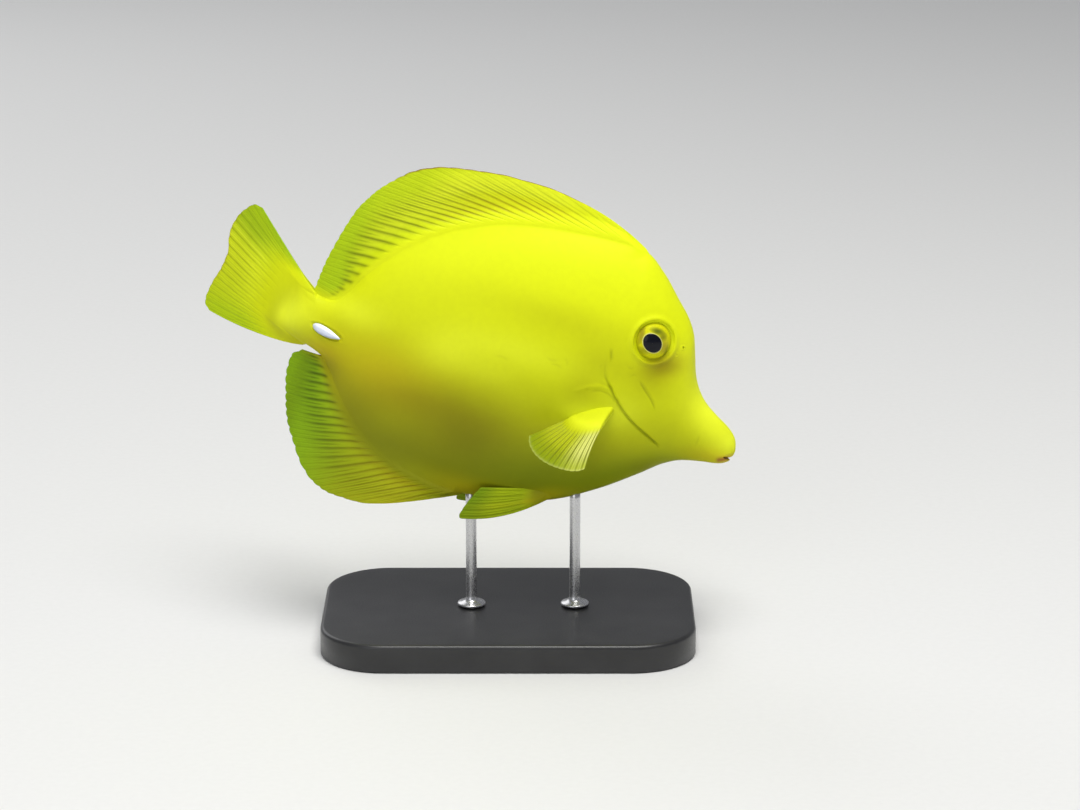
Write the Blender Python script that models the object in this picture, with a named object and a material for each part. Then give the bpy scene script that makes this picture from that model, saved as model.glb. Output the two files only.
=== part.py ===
"""Yellow tang (Zebrasoma flavescens) as a life-size still model on a plain display stand.

The fish is first built straight, in its own frame: s is the distance behind the snout, y is to its
left and h is above the line from the snout to the tail, all in millimetres. Its tail is then bent to
the left and lifted, and an empty carries it nose down over the stand. World units are metres, +Z up,
and the origin is the middle of the base's underside.
"""

import math

import bmesh
import bpy
import numpy as np

MM = 0.001
GAP = 0.3

# Whole fish, in millimetres and degrees
NOSE_DOWN = 16.8
SNOUT_AHEAD = 63.0
SNOUT_HEIGHT = 53.0
TAIL_BEND = (92.0, 142.0, 38.0)
TAIL_LIFT = (112.0, 136.0, 13.0)
AXIS_LEVEL = 1.0

# Outline of the body without its fins: (distance behind snout, height)
BACK_LINE = [
    (0, 0.2), (0.4, 2.0), (1.4, 4.0), (4, 6.3), (8, 8.6), (12, 11.3), (15, 14.6), (17, 18.1), (19, 23.6),
    (21, 28.9), (23.5, 32.7), (28, 37.3), (34, 43.2), (40, 47.3), (47, 48.4), (62, 47.4), (78, 44.6),
    (90, 39.8), (98, 34.8), (105, 28.2), (111, 20.2), (115, 13.2), (118.4, 9.2), (121.5, 8.0), (125, 7.6),
    (131, 7.4),
]
BELLY_LINE = [
    (0.7, -2.6), (1.4, -3.3), (2.6, -4.0), (4.7, -4.6), (8, -5.1), (14, -6.5), (18, -8.6), (24, -13.7), (34, -21.5),
    (45, -28), (56, -31.6), (66, -33.4), (76, -32.8), (86, -31), (94, -28.2), (102, -23.2),
    (110, -15.2), (114, -10.2), (117.5, -7.4), (121, -6.5), (125, -6.2), (131, -5.8),
]
# Half width of the body, the height at which it is widest, and how sharp its back and belly are
HALF_WIDTH = [
    (3, 2.5), (5, 3.2), (10, 4.3), (16, 5.7), (25, 7.9), (34, 9.7), (44, 11), (58, 11.4), (74, 10.6),
    (90, 8.6), (104, 6.2), (114, 4.6), (122, 3.6), (127, 2.7), (131, 0.9),
]
WIDEST_LEVEL = [
    (3, -1.7), (8, 0), (16, 3), (24, 8), (32, 11), (44, 11), (60, 9), (80, 6), (105, 2.6), (118, 1),
    (131, 0.4),
]
RIDGE_SHARPNESS = [(3, 0.85), (16, 0.95), (30, 1.05), (46, 1.2), (100, 1.25), (122, 1.0), (131, 0.8)]
BODY_END = 131.0
RING_POINTS = 32
HEAD_STEP = 2.6
TORSO_STEP = 3.6
FINE_POINTS = 48
FINE_STEP = 2.4

# Mouth, as rings from the throat out to the lips: (s top, s side, s bottom, h top, h side, h bottom,
# half width). The rings behind the lips lag at the mouth's corners and at the jaw.
MOUTH_RINGS = [
    (3.6, 4.3, 3.8, -1.8, -2.0, -2.2, 0.9),
    (1.0, 3.8, 1.6, -1.65, -1.95, -2.25, 1.5),
    (0.05, 3.3, 0.7, -0.9, -1.9, -2.45, 2.1),
]
CORNER_LAG = 3.0
JAW_LAG = 0.7
LAG_FADE = 3.5
LIP_STATIONS = (0, 0.9, 2.1, 3.6)

# The cheek and gill cover stand a little proud of the body behind them
CHEEK_SWELL = 0.45
CHEEK_RANGE = (18.0, 26.0)
GILL_EDGE = [
    (37.5, 56), (39, 46), (41.5, 33), (43, 22.6), (42.2, 14.6), (38.6, 9.8), (34.2, 5.2), (30, 2.2),
    (25.6, -0.2), (21.6, -2.6), (19, -7), (17, -16),
]
TAIL_EDGE = [(107.5, 40), (109.2, 12), (109.5, 2), (109.2, -8), (107.5, -30)]
CUT_AHEAD = -6.0
CUT_REACH = 20.0
CUT_HEIGHT = 70.0

# Eye, orbit and nostrils, on the head's flank
EYE_AT = (31.8, 25.9)
EYE_RADIUS = 5.4
EYE_DOME = 1.9
EYE_BACK = 2.8
EYE_EQUATOR = -0.5
EYE_SUNK = 0.35
EYE_TURN = (14.0, 8.0)
SOCKET_FLARE = 0.3
SOCKET_REACH = 6.0
# Half section of the raised skin round the eye, from its root in the flank over its crest
ORBIT_RIM = [(0, -1.5), (6.9, -1.2), (6.5, 0.3), (6.1, 0.5), (0, 0.5)]
NOSTRILS = [(24.2, 23.7, 0.5), (23.3, 25.8, 0.6)]
NOSTRIL_DEPTH = 1.0

# Tail spine: a folded blade in a groove of the tail stalk
SPINE_AT = (117.1, 0.5)
SPINE_LENGTH = 8.2
SPINE_DEPTH = 2.5
SPINE_THICKNESS = 1.5
SPINE_DROOP = 3.4
SPINE_PROUD = 0.15
SPINE_HINGE_SWELL = 0.28
SPINE_END = 0.12

# Fins. A FAN gives how far along the margin a ray ends, by how far along the base it starts.
MEMBRANE = (1.5, 0.55)
RAY_RIDGE = (0.6, 0.3)
SCALLOP = 0.35
FIN_ROWS = 7
DORSAL_SPINES_AND_RAYS = 29
DORSAL_BASE = (39.5, 120.5)
DORSAL_MARGIN = [
    (40.8, 48.3), (46, 50.9), (54, 53.9), (62, 55.7), (72, 57), (82, 56.9), (91, 55.9), (100, 54.2),
    (107.3, 50.9), (113.9, 44.8), (119.3, 39.8), (124, 34.2), (126.4, 25.4), (127.2, 16.8), (127, 8.8),
]
DORSAL_FAN = [
    (0, 0), (0.05, 0.23), (0.11, 0.37), (0.22, 0.485), (0.32, 0.59), (0.59, 0.758), (0.705, 0.834),
    (0.825, 0.913), (1, 1),
]
ANAL_SPINES_AND_RAYS = 23
ANAL_BASE = (69.0, 117.5)
ANAL_MARGIN = [
    (70.4, -34.4), (76, -37.1), (83, -40.2), (90, -42.9), (97, -44.4), (104, -44.3), (110, -42.6),
    (114.5, -38.9), (117.6, -33.9), (120.6, -28.4), (122.9, -22), (124.8, -15.8), (125.2, -11.6), (123, -8.3),
]
ANAL_FAN = [
    (0, 0), (0.06, 0.22), (0.122, 0.36), (0.346, 0.523), (0.458, 0.63), (0.61, 0.735), (0.814, 0.862), (1, 1),
]
CAUDAL_RAYS = 17
CAUDAL_ROOT = 123.0
CAUDAL_GAP = 0.5
CAUDAL_TOP_LAG = 2.5
CAUDAL_MARGIN = [
    (154.9, -17.6), (157.2, -16.9), (158.3, -14.5), (158.5, -10.5), (158, -5), (158.4, 0), (160.3, 3.5),
    (161.2, 7), (160.9, 10.5), (159.4, 14.2), (157.4, 16.8), (154.6, 17.5),
]
# How far the lowest ray bows down, and how quickly the rays above it straighten
CAUDAL_BOW = (1.1, 4)
PECTORAL_RAYS = 14
PECTORAL_ROOTS = ((35.9, 5.6), (42.6, 2.6))
PECTORAL_LEAD = (5.8, 25.2, -11.0)
PECTORAL_TRAIL = (12.8, 5.6, -9.2)
PECTORAL_BULGE = 1.8
PECTORAL_THICKNESS = (2.6, 0.55)
PECTORAL_SINK = 2.5
PECTORAL_BOW = (1.2, 1.0, 0.6)
PELVIC_RAYS = 6
PELVIC_ROOTS = ((44.6, -26.2), (48.2, -24.4))
PELVIC_LEAD = (23.5, 5.5, -12.3)
PELVIC_TRAIL = (16.0, 3.0, -3.6)
PELVIC_BULGE = 0.6
PELVIC_THICKNESS = (1.4, 0.55)
PELVIC_SINK = 1.0
PELVIC_BOW = (-0.6, 0.6, -2.0)
LEFT_PELVIC_RAISE = 1.5

# Stand
BASE_SIZE = (104.0, 68.0, 8.0)
BASE_CORNER = 18.0
BASE_CHAMFER = 1.2
ROD_RADIUS = 1.5
# Half section of a rod's foot above the base, and then the rod's own radius
ROD_FOOT = [(4.0, 0.0), (4.0, 0.8), (2.1, 1.4), (ROD_RADIUS, 2.4)]
ROD_AT = {"stand_rod_front": 18.6, "stand_rod_rear": -10.4}

COLOURS = {
    "skin": ((0.92, 0.83, 0.03), 0.42, 0.0),
    "fin": ((0.80, 0.84, 0.05), 0.42, 0.0),
    "eye": ((0.02, 0.03, 0.06), 0.08, 0.0),
    "tail_spine": ((0.90, 0.92, 0.95), 0.25, 0.0),
    "stand_base": ((0.03, 0.03, 0.035), 0.35, 0.0),
    "stand_rod": ((0.62, 0.63, 0.65), 0.28, 1.0),
}


def smooth(points, x):
    """Height at x of the curve through the points, with no overshoot between them."""
    xs, ys = np.array(points, float).T
    steps = np.diff(xs)
    slopes = np.diff(ys) / steps
    tangents = np.zeros(len(xs))
    tangents[0], tangents[-1] = slopes[0], slopes[-1]
    for i in range(1, len(xs) - 1):
        if slopes[i - 1] * slopes[i] > 0:
            a, b = 2 * steps[i] + steps[i - 1], steps[i] + 2 * steps[i - 1]
            tangents[i] = (a + b) / (a / slopes[i - 1] + b / slopes[i])
    x = np.clip(np.asarray(x, float), xs[0], xs[-1])
    i = np.clip(np.searchsorted(xs, x, side="right") - 1, 0, len(xs) - 2)
    t = (x - xs[i]) / steps[i]
    return (
        ys[i] * (1 + 2 * t) * (1 - t) ** 2
        + steps[i] * tangents[i] * t * (1 - t) ** 2
        + ys[i + 1] * t * t * (3 - 2 * t)
        - steps[i] * tangents[i + 1] * t * t * (1 - t)
    )


def along(points, fractions):
    """Points at these fractions of the length of the smooth curve through the points."""
    points = np.array(points, float)
    chord = np.concatenate([[0], np.cumsum(np.linalg.norm(np.diff(points, axis=0), axis=1))])
    fine = np.linspace(0, chord[-1], 400)
    curve = np.stack([smooth(list(zip(chord, column)), fine) for column in points.T], axis=1)
    length = np.concatenate([[0], np.cumsum(np.linalg.norm(np.diff(curve, axis=0), axis=1))])
    wanted = np.asarray(fractions, float) * length[-1]
    return np.stack([np.interp(wanted, length, column) for column in curve.T], axis=1)


def bend(far, aside, start, stop, degrees):
    """Turns the line aside = 0 by degrees between start and stop, and carries the rest with it."""
    line = np.linspace(start, start + 100, 501)
    share = np.clip((line - start) / (stop - start), 0, 1)
    turn = math.radians(degrees) * share**2 * (3 - 2 * share)
    step = line[1] - line[0]
    ahead = start + np.concatenate([[0], np.cumsum(np.cos(turn[1:]) * step)])
    off = np.concatenate([[0], np.cumsum(np.sin(turn[1:]) * step)])
    here = np.interp(far, line, turn)
    new_far = np.where(far > start, np.interp(far, line, ahead), far) - aside * np.sin(here)
    return new_far, np.interp(far, line, off) + aside * np.cos(here)


def posed(points):
    """Straight fish (s, y, h) in millimetres to the posed fish's own x, y, z in metres, x forward."""
    s, y, h = np.array(points, float).T
    s, lifted = bend(s, h - AXIS_LEVEL, *TAIL_LIFT)
    s, y = bend(s, y, *TAIL_BEND)
    return np.stack([-s, y, lifted + AXIS_LEVEL], axis=1) * MM


def new_object(name, points, faces, material=None):
    """A mesh object in the scene, its faces turned outward."""
    mesh = bpy.data.meshes.new(name)
    mesh.from_pydata([tuple(p) for p in points], [], [tuple(f) for f in faces])
    if material:
        mesh.materials.append(material)
    work = bmesh.new()
    work.from_mesh(mesh)
    bmesh.ops.recalc_face_normals(work, faces=work.faces)
    work.to_mesh(mesh)
    work.free()
    obj = bpy.data.objects.new(name, mesh)
    bpy.context.scene.collection.objects.link(obj)
    return obj


def helper(name, points, faces):
    """A cutter or a piece to be joined: never shown."""
    obj = new_object(name, points, faces)
    obj.hide_render = True
    obj.display_type = "WIRE"
    return obj


def area_of(verts):
    faces = {face for vert in verts for face in vert.link_faces}
    return sum(face.calc_area() for face in faces)


def settle(obj, others=()):
    """Applies the modifiers, keeps the largest closed surface and removes the helpers used."""
    bpy.context.view_layer.update()
    graph = bpy.context.evaluated_depsgraph_get()
    mesh = bpy.data.meshes.new_from_object(obj.evaluated_get(graph))
    obj.modifiers.clear()
    obj.data = mesh
    for other in others:
        bpy.data.objects.remove(other)
    work = bmesh.new()
    work.from_mesh(mesh)
    bmesh.ops.triangulate(work, faces=work.faces)
    left = set(work.verts)
    islands = []
    while left:
        island = set()
        front = [left.pop()]
        while front:
            vert = front.pop()
            island.add(vert)
            for edge in vert.link_edges:
                other = edge.other_vert(vert)
                if other in left:
                    left.remove(other)
                    front.append(other)
        islands.append(island)
    largest = max(islands, key=area_of)
    bmesh.ops.delete(work, geom=[v for v in work.verts if v not in largest], context="VERTS")
    work.to_mesh(mesh)
    work.free()


def boolean(obj, other, operation):
    """Adds a Boolean modifier, which settle applies."""
    modifier = obj.modifiers.new(operation.lower(), "BOOLEAN")
    modifier.operation = operation
    modifier.solver = "EXACT"
    modifier.object = other


def pose_object(obj):
    """Moves a finished straight node into the bent pose, which mirrors it, so its faces are turned."""
    points = np.array([v.co for v in obj.data.vertices])
    obj.data.vertices.foreach_set("co", posed(points).astype(np.float32).ravel())
    obj.data.flip_normals()
    obj.data.update()


def shade(obj, angle=40):
    obj.data.shade_smooth()
    obj.data.set_sharp_from_angle(angle=math.radians(angle))


def materials():
    """One plain material for each slot."""
    made = {}
    for name, (colour, roughness, metallic) in COLOURS.items():
        material = bpy.data.materials.new(name)
        material.use_nodes = True
        shader = material.node_tree.nodes["Principled BSDF"]
        shader.inputs["Base Color"].default_value = (*colour, 1)
        shader.inputs["Roughness"].default_value = roughness
        shader.inputs["Metallic"].default_value = metallic
        made[name] = material
    return made


def cheek(s):
    """How far the head stands proud of the body at s."""
    start, stop = CHEEK_RANGE
    return CHEEK_SWELL * smooth([(start, 0), (stop, 1)], s)


def ring(s_top, s_side, s_bottom, h_top, h_side, h_bottom, half_width, sharpness, count):
    """One closed ring of the body's surface, from its left side over the back."""
    angle = np.linspace(0, 2 * math.pi, count, endpoint=False)
    up, out = np.sin(angle), np.cos(angle)
    y = half_width * np.sign(out) * np.abs(out) ** sharpness
    h = h_side + np.where(up > 0, h_top - h_side, h_side - h_bottom) * up
    s = s_side + np.where(up > 0, s_top - s_side, s_bottom - s_side) * up**2
    return np.stack([s, y, h], axis=1)


def body_ring(s, count, grow=0.0, swell=0.0):
    """The ring whose top lies at s: near the mouth its sides and jaw lag behind."""
    side = min(s + CORNER_LAG * math.exp(-s / LAG_FADE), BODY_END)
    jaw = min(s + JAW_LAG * math.exp(-s / LAG_FADE), BODY_END)
    return ring(
        s, side, jaw,
        float(smooth(BACK_LINE, s)) + grow,
        float(smooth(WIDEST_LEVEL, side)),
        float(smooth(BELLY_LINE, jaw)) - grow,
        float(smooth(HALF_WIDTH, side)) + grow + swell * float(cheek(side)),
        float(smooth(RIDGE_SHARPNESS, side)),
        count,
    )


def tube_faces(rings, count):
    """Faces of a closed tube whose rings of points follow each other, with both ends capped."""
    faces = []
    for i in range(rings - 1):
        for j in range(count):
            a = i * count + j
            b = i * count + (j + 1) % count
            faces += [(a, b, b + count), (a, b + count, a + count)]
    faces.append(tuple(range(count))[::-1])
    faces.append(tuple((rings - 1) * count + j for j in range(count)))
    return faces


def body_stations(step):
    """Distances behind the snout, evenly spaced along the back so that the forehead gets enough rings."""
    fine = np.linspace(0, BODY_END, 800)
    length = np.concatenate([[0], np.cumsum(np.hypot(np.diff(fine), np.diff(smooth(BACK_LINE, fine))))])
    *lips, start = LIP_STATIONS
    count = int((length[-1] - start) / step) + 1
    return np.interp([*lips, *np.linspace(start, length[-1], count)], length, fine)


def body_surface(count, step, grow=0.0, swell=0.0):
    """Points and faces of the whole body, mouth included, straight."""
    rings = [ring(*row, 1.0, count) for row in MOUTH_RINGS]
    rings += [body_ring(s, count, grow, swell) for s in body_stations(step)]
    return np.concatenate(rings), tube_faces(len(rings), count)


def shifted(line, distance):
    """The line moved sideways by distance, to its right as it is drawn."""
    points = along(line, np.linspace(0, 1, 4 * len(line)))
    direction = np.gradient(points, axis=0)
    direction /= np.linalg.norm(direction, axis=1)[:, None]
    return points + distance * np.stack([direction[:, 1], -direction[:, 0]], axis=1)


def curtain(name, front, rear):
    """A slab through the fish between two lines drawn from above the back to below the belly."""
    loop = [
        (front[0][0], CUT_HEIGHT), *front, (front[-1][0], -CUT_HEIGHT),
        (rear[-1][0], -CUT_HEIGHT), *rear[::-1], (rear[0][0], CUT_HEIGHT),
    ]
    count = len(loop)
    points = [(s, side * CUT_REACH, h) for side in (-1, 1) for s, h in loop]
    faces = [tuple(range(count)), tuple(range(count, 2 * count))[::-1]]
    faces += [(j, (j + 1) % count, (j + 1) % count + count, j + count) for j in range(count)]
    return helper(name, points, faces)


def flesh(name, front, rear, swell, material, step):
    """One length of the body, between two cuts."""
    points, faces = body_surface(RING_POINTS, step, swell=swell)
    obj = new_object(name, points, faces, material)
    slab = curtain(name + "_slab", front, rear)
    boolean(obj, slab, "INTERSECT")
    settle(obj, [slab])
    return obj


def surface_y(s, h, swell=0.0):
    """Half width of the body at this place on its flank."""
    level = float(smooth(WIDEST_LEVEL, s))
    edge = float(smooth(BACK_LINE, s)) if h > level else float(smooth(BELLY_LINE, s))
    up = (h - level) / (edge - level)
    half = float(smooth(HALF_WIDTH, s)) + swell * float(cheek(s))
    return half * (1 - up * up) ** (float(smooth(RIDGE_SHARPNESS, s)) / 2)


def turned(profile, place, outward, forward_degrees, up_degrees, count=24):
    """A solid turned about an axis that leaves the flank: profile is (radius, height) from base to tip."""
    forward, up = math.radians(forward_degrees), math.radians(up_degrees)
    axis = np.array([-math.sin(forward), outward * math.cos(forward) * math.cos(up), math.sin(up)])
    axis /= np.linalg.norm(axis)
    first = np.cross(axis, (0, 0, 1))
    first /= np.linalg.norm(first)
    second = np.cross(axis, first)
    place = np.array(place)
    points = [place + profile[0][1] * axis]
    for radius, height in profile[1:-1]:
        for angle in np.linspace(0, 2 * math.pi, count, endpoint=False):
            spoke = math.cos(angle) * first + math.sin(angle) * second
            points.append(place + height * axis + radius * spoke)
    points.append(place + profile[-1][1] * axis)
    faces = []
    last = len(points) - 1
    rows = len(profile) - 2
    for j in range(count):
        k = (j + 1) % count
        faces.append((0, 1 + k, 1 + j))
        faces.append((last, 1 + (rows - 1) * count + j, 1 + (rows - 1) * count + k))
        for i in range(rows - 1):
            a = 1 + i * count + j
            b = 1 + i * count + k
            faces.append((a, b, b + count, a + count))
    return points, faces


def eye_back(grow=0.0):
    """Half section of the eyeball's rounded back."""
    turns = np.linspace(0, math.pi / 2, 6)
    return [
        ((EYE_RADIUS + grow) * math.sin(t), EYE_EQUATOR - (EYE_BACK + grow) * math.cos(t)) for t in turns
    ]


def eye_profile():
    turns = np.linspace(0, math.pi / 2, 7)[1:-1]
    dome = [(EYE_RADIUS * math.cos(t) ** 0.9, EYE_DOME * math.sin(t)) for t in turns]
    return eye_back() + [(EYE_RADIUS, 0.0)] + dome + [(0.0, EYE_DOME)]


def socket_profile():
    """Half section of the cutter that makes room for the eyeball."""
    mouth = EYE_RADIUS + GAP + SOCKET_FLARE
    return eye_back(GAP) + [(mouth, SOCKET_REACH), (0, SOCKET_REACH)]


def nostril_profile(radius):
    return [
        (0, -NOSTRIL_DEPTH), (0.8 * radius, 0.4 - NOSTRIL_DEPTH), (radius, 0), (radius, NOSTRIL_DEPTH),
        (0, NOSTRIL_DEPTH),
    ]


def eye_place(outward):
    """Middle of the eye on the right (-1) or left (1) flank."""
    s, h = EYE_AT
    y = surface_y(s, h, swell=1.0) - EYE_SUNK
    return (s, outward * y, h)


def join_to(obj, others):
    """Joins closed pieces to a node with one Boolean union."""
    group = bpy.data.collections.new(obj.name + "_pieces")
    bpy.context.scene.collection.children.link(group)
    for other in others:
        bpy.context.scene.collection.objects.unlink(other)
        group.objects.link(other)
    modifier = obj.modifiers.new("union", "BOOLEAN")
    modifier.operation = "UNION"
    modifier.operand_type = "COLLECTION"
    modifier.collection = group
    modifier.solver = "EXACT"
    settle(obj, others)
    bpy.data.collections.remove(group)


def head(material):
    """Head with its gill covers: rims round the eyes are joined on, sockets and nostrils cut."""
    edge = shifted(GILL_EDGE, GAP / 2)
    ahead = [(CUT_AHEAD, h) for _, h in edge]
    obj = flesh("head", ahead, edge, 1.0, material, HEAD_STEP)
    rims = [helper("rim", *turned(ORBIT_RIM, eye_place(side), side, *EYE_TURN)) for side in (-1, 1)]
    join_to(obj, rims)
    cutters = []
    for side in (-1, 1):
        cutters.append(helper("socket", *turned(socket_profile(), eye_place(side), side, *EYE_TURN)))
        for s, h, radius in NOSTRILS:
            place = (s, side * surface_y(s, h, swell=1.0), h)
            pit = turned(nostril_profile(radius), place, side, *EYE_TURN, count=8)
            cutters.append(helper("nostril", *pit))
    for cutter in cutters:
        boolean(obj, cutter, "DIFFERENCE")
    settle(obj, cutters)
    return obj


def torso(material):
    front = shifted(GILL_EDGE, -GAP / 2)
    rear = shifted(TAIL_EDGE, GAP / 2)
    return flesh("torso", front, rear, 0.0, material, TORSO_STEP)


def spine_points(side, grow=0.0):
    """The folded tail spine: blunt at its hinge behind, pointed in front."""
    s, h = SPINE_AT
    droop = math.radians(SPINE_DROOP)
    rings = []
    count = 8
    angle = np.linspace(0, 2 * math.pi, count, endpoint=False)
    for t in np.linspace(-1, 1, 9):
        taper = max(math.sqrt(1 - t * t) * (1 + SPINE_HINGE_SWELL * t), SPINE_END)
        reach = t * (SPINE_LENGTH / 2 + grow)
        level = h + reach * math.tan(droop)
        y = surface_y(s + reach, level) + SPINE_PROUD
        rings.append(np.stack([
            np.full(count, s + reach),
            side * (y + (SPINE_THICKNESS / 2 * taper + grow) * np.cos(angle)),
            level + (SPINE_DEPTH / 2 * taper + grow) * np.sin(angle),
        ], axis=1))
    return np.concatenate(rings), tube_faces(len(rings), count)


def tail_stalk(material):
    """The stalk behind the body, with a groove on each side for its spine."""
    front = shifted(TAIL_EDGE, -GAP / 2)
    behind = [(BODY_END - CUT_AHEAD, h) for _, h in front]
    obj = flesh("tail_stalk", front, behind, 0.0, material, HEAD_STEP)
    grooves = [helper("groove", *spine_points(side, GAP)) for side in (-1, 1)]
    for groove in grooves:
        boolean(obj, groove, "DIFFERENCE")
    settle(obj, grooves)
    return obj


def sheet_solid(middle, normal, half):
    """A closed plate round a grid of points: half is its half thickness, split alike on both faces."""
    columns, rows = middle.shape[:2]
    left = middle + normal * half[..., None]
    right = middle - normal * half[..., None]
    points = np.concatenate([left.reshape(-1, 3), right.reshape(-1, 3)])
    size = columns * rows
    faces = []
    for i in range(columns - 1):
        for j in range(rows - 1):
            a = i * rows + j
            b, c, d = a + rows, a + rows + 1, a + 1
            faces += [(a, b, c), (a, c, d), (size + c, size + b, size + a), (size + d, size + c, size + a)]
    border = [i * rows for i in range(columns)]
    border += [(columns - 1) * rows + j for j in range(1, rows)]
    border += [i * rows + rows - 1 for i in range(columns - 2, -1, -1)]
    border += [j for j in range(rows - 2, 0, -1)]
    for a, b in zip(border, border[1:] + border[:1]):
        faces += [(b, a, size + a), (b, size + a, size + b)]
    return points, faces


def ray_columns(rays, between=(0.5,)):
    """Places across a fin, in rays, and how much of a ridge each has."""
    places, ridge = [], []
    for ray in range(rays):
        places.append(float(ray))
        ridge.append(1.0)
        if ray < rays - 1:
            places += [ray + share for share in between]
            ridge += [0.0] * len(between)
    return np.array(places), np.array(ridge)


def fin_plate(roots, tips, ridge, normal=None, thickness=MEMBRANE, bow=None):
    """A fin from its roots to its tips, with the rays as ridges of its own surface."""
    out = np.linspace(0, 1, FIN_ROWS)
    scallop = tips - roots
    scallop /= np.linalg.norm(scallop, axis=1)[:, None]
    tips = tips - SCALLOP * (1 - ridge)[:, None] * scallop
    middle = roots[:, None] + (tips - roots)[:, None] * out[None, :, None]
    if bow is not None:
        middle = middle + (4 * out * (1 - out))[None, :, None] * bow[:, None]
    membrane = thickness[0] + (thickness[1] - thickness[0]) * out**0.7
    raised = RAY_RIDGE[0] + (RAY_RIDGE[1] - RAY_RIDGE[0]) * out
    half = (membrane[None] + ridge[:, None] * raised[None]) / 2
    if normal is not None:
        normal = np.broadcast_to(np.array(normal), middle.shape)
    else:
        across = np.gradient(middle, axis=0)
        outward = np.gradient(middle, axis=1)
        normal = np.cross(across, outward)
        normal /= np.linalg.norm(normal, axis=2)[..., None]
    return sheet_solid(middle, normal, half)


def median_roots(line, base, sign, shares):
    """Points just off the body's outline between two distances behind the snout."""
    distances = np.linspace(*base, 34)
    outline = np.stack([distances, smooth(line, distances) + sign * GAP], axis=1)
    return along(outline, shares)


def upright(flat):
    """Adds y = 0 to points that are (s, h)."""
    return np.stack([flat[:, 0], np.zeros(len(flat)), flat[:, 1]], axis=1)


def median_fin(name, line, base, sign, margin, rays, fan, material):
    """The dorsal (sign 1) or anal (-1) fin, standing on the body's outline."""
    places, ridge = ray_columns(rays)
    share = places / (rays - 1)
    roots = upright(median_roots(line, base, sign, share))
    tips = upright(along(margin, smooth(fan, share)))
    return new_object(name, *fin_plate(roots, tips, ridge, (0.0, 1.0, 0.0)), material)


def caudal_fin(material):
    """The tail fin, whose root runs round the end of the stalk."""
    places, ridge = ray_columns(CAUDAL_RAYS)
    share = places / (CAUDAL_RAYS - 1)
    top, end_top = smooth(BACK_LINE, [CAUDAL_ROOT, BODY_END])
    bottom, end_bottom = smooth(BELLY_LINE, [CAUDAL_ROOT, BODY_END])
    corners = np.array([
        (CAUDAL_ROOT, bottom - CAUDAL_GAP), (BODY_END, end_bottom - CAUDAL_GAP),
        (BODY_END + CAUDAL_GAP, end_bottom), (BODY_END + CAUDAL_GAP, end_top),
        (BODY_END, end_top + CAUDAL_GAP), (CAUDAL_ROOT + CAUDAL_TOP_LAG, top + CAUDAL_GAP),
    ])
    chord = np.concatenate([[0], np.cumsum(np.linalg.norm(np.diff(corners, axis=0), axis=1))])
    roots = np.stack([np.interp(share * chord[-1], chord, column) for column in corners.T], axis=1)
    tips = along(CAUDAL_MARGIN, share)
    sag, fade = CAUDAL_BOW
    bow = upright(np.stack([0 * share, -sag * (1 - share) ** fade], axis=1))
    plate = fin_plate(upright(roots), upright(tips), ridge, (0.0, 1.0, 0.0), bow=bow)
    return new_object("caudal_fin", *plate, material)


def body_cutter(name):
    """The body grown by the gap, to cut what stands against it."""
    return helper(name + "_body", *body_surface(FINE_POINTS, FINE_STEP, grow=GAP))


def paired_fin(name, side, roots, lead, trail, bulge, bow, rays, thickness, sink, material, between):
    """A fin that leaves the flank: its rays fan from lead to trail, and its root is cut to the body."""
    places, ridge = ray_columns(rays, between)
    share = (places / (rays - 1))[:, None]
    front, rear = (np.array([s, surface_y(s, h) - sink, h]) for s, h in roots)
    base = front * (1 - share) + rear * share
    lead = np.array(lead)
    trail = np.array(trail)
    reach = lead * (1 - share) + trail * share
    length = np.linalg.norm(lead) * (1 - share) + np.linalg.norm(trail) * share
    length += bulge * 4 * share * (1 - share)
    reach = reach / np.linalg.norm(reach, axis=1)[:, None] * (length + sink)
    flip = np.array([1.0, side, 1.0])
    bow = np.array(bow) * (1 - share)
    plate = fin_plate(base * flip, (base + reach) * flip, ridge, None, thickness, bow * flip)
    obj = new_object(name, *plate, material)
    cutter = body_cutter(name)
    boolean(obj, cutter, "DIFFERENCE")
    settle(obj, [cutter])
    return obj


def eyes(material):
    made = []
    for name, side in (("eye_right", -1), ("eye_left", 1)):
        ball = turned(eye_profile(), eye_place(side), side, *EYE_TURN)
        made.append(new_object(name, *ball, material))
    return made


def tail_spines(material):
    made = []
    for name, side in (("tail_spine_right", -1), ("tail_spine_left", 1)):
        made.append(new_object(name, *spine_points(side), material))
    return made


def stand_base(material):
    """A flat base with rounded corners and a chamfered top edge."""
    length, depth, height = BASE_SIZE
    corner = BASE_CORNER
    loop = []
    for cx, cy, start in ((1, 1, 0), (-1, 1, 90), (-1, -1, 180), (1, -1, 270)):
        for angle in np.radians(np.linspace(start, start + 90, 9)):
            loop.append((
                cx * (length / 2 - corner) + corner * math.cos(angle),
                cy * (depth / 2 - corner) + corner * math.sin(angle),
            ))
    inset = 1 - 2 * BASE_CHAMFER / depth
    levels = [(0.0, 1.0), (height - BASE_CHAMFER, 1.0), (height, inset)]
    points = [(x * share * MM, y * share * MM, z * MM) for z, share in levels for x, y in loop]
    return new_object("stand_base", points, tube_faces(len(levels), len(loop)), material)


def stand_rod(name, x, material, fish):
    """A turned rod with a small foot, its top cut to the belly."""
    bottom = BASE_SIZE[2] + GAP
    profile = [(radius, bottom + height) for radius, height in ROD_FOOT]
    profile.append((ROD_RADIUS, SNOUT_HEIGHT))
    count = 16
    points = [
        ((x + r * math.cos(t)) * MM, r * math.sin(t) * MM, z * MM)
        for r, z in profile
        for t in np.linspace(0, 2 * math.pi, count, endpoint=False)
    ]
    obj = new_object(name, points, tube_faces(len(profile), count), material)
    cutter = body_cutter(name)
    pose_object(cutter)
    cutter.parent = fish
    boolean(obj, cutter, "DIFFERENCE")
    settle(obj, [cutter])
    return obj


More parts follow.
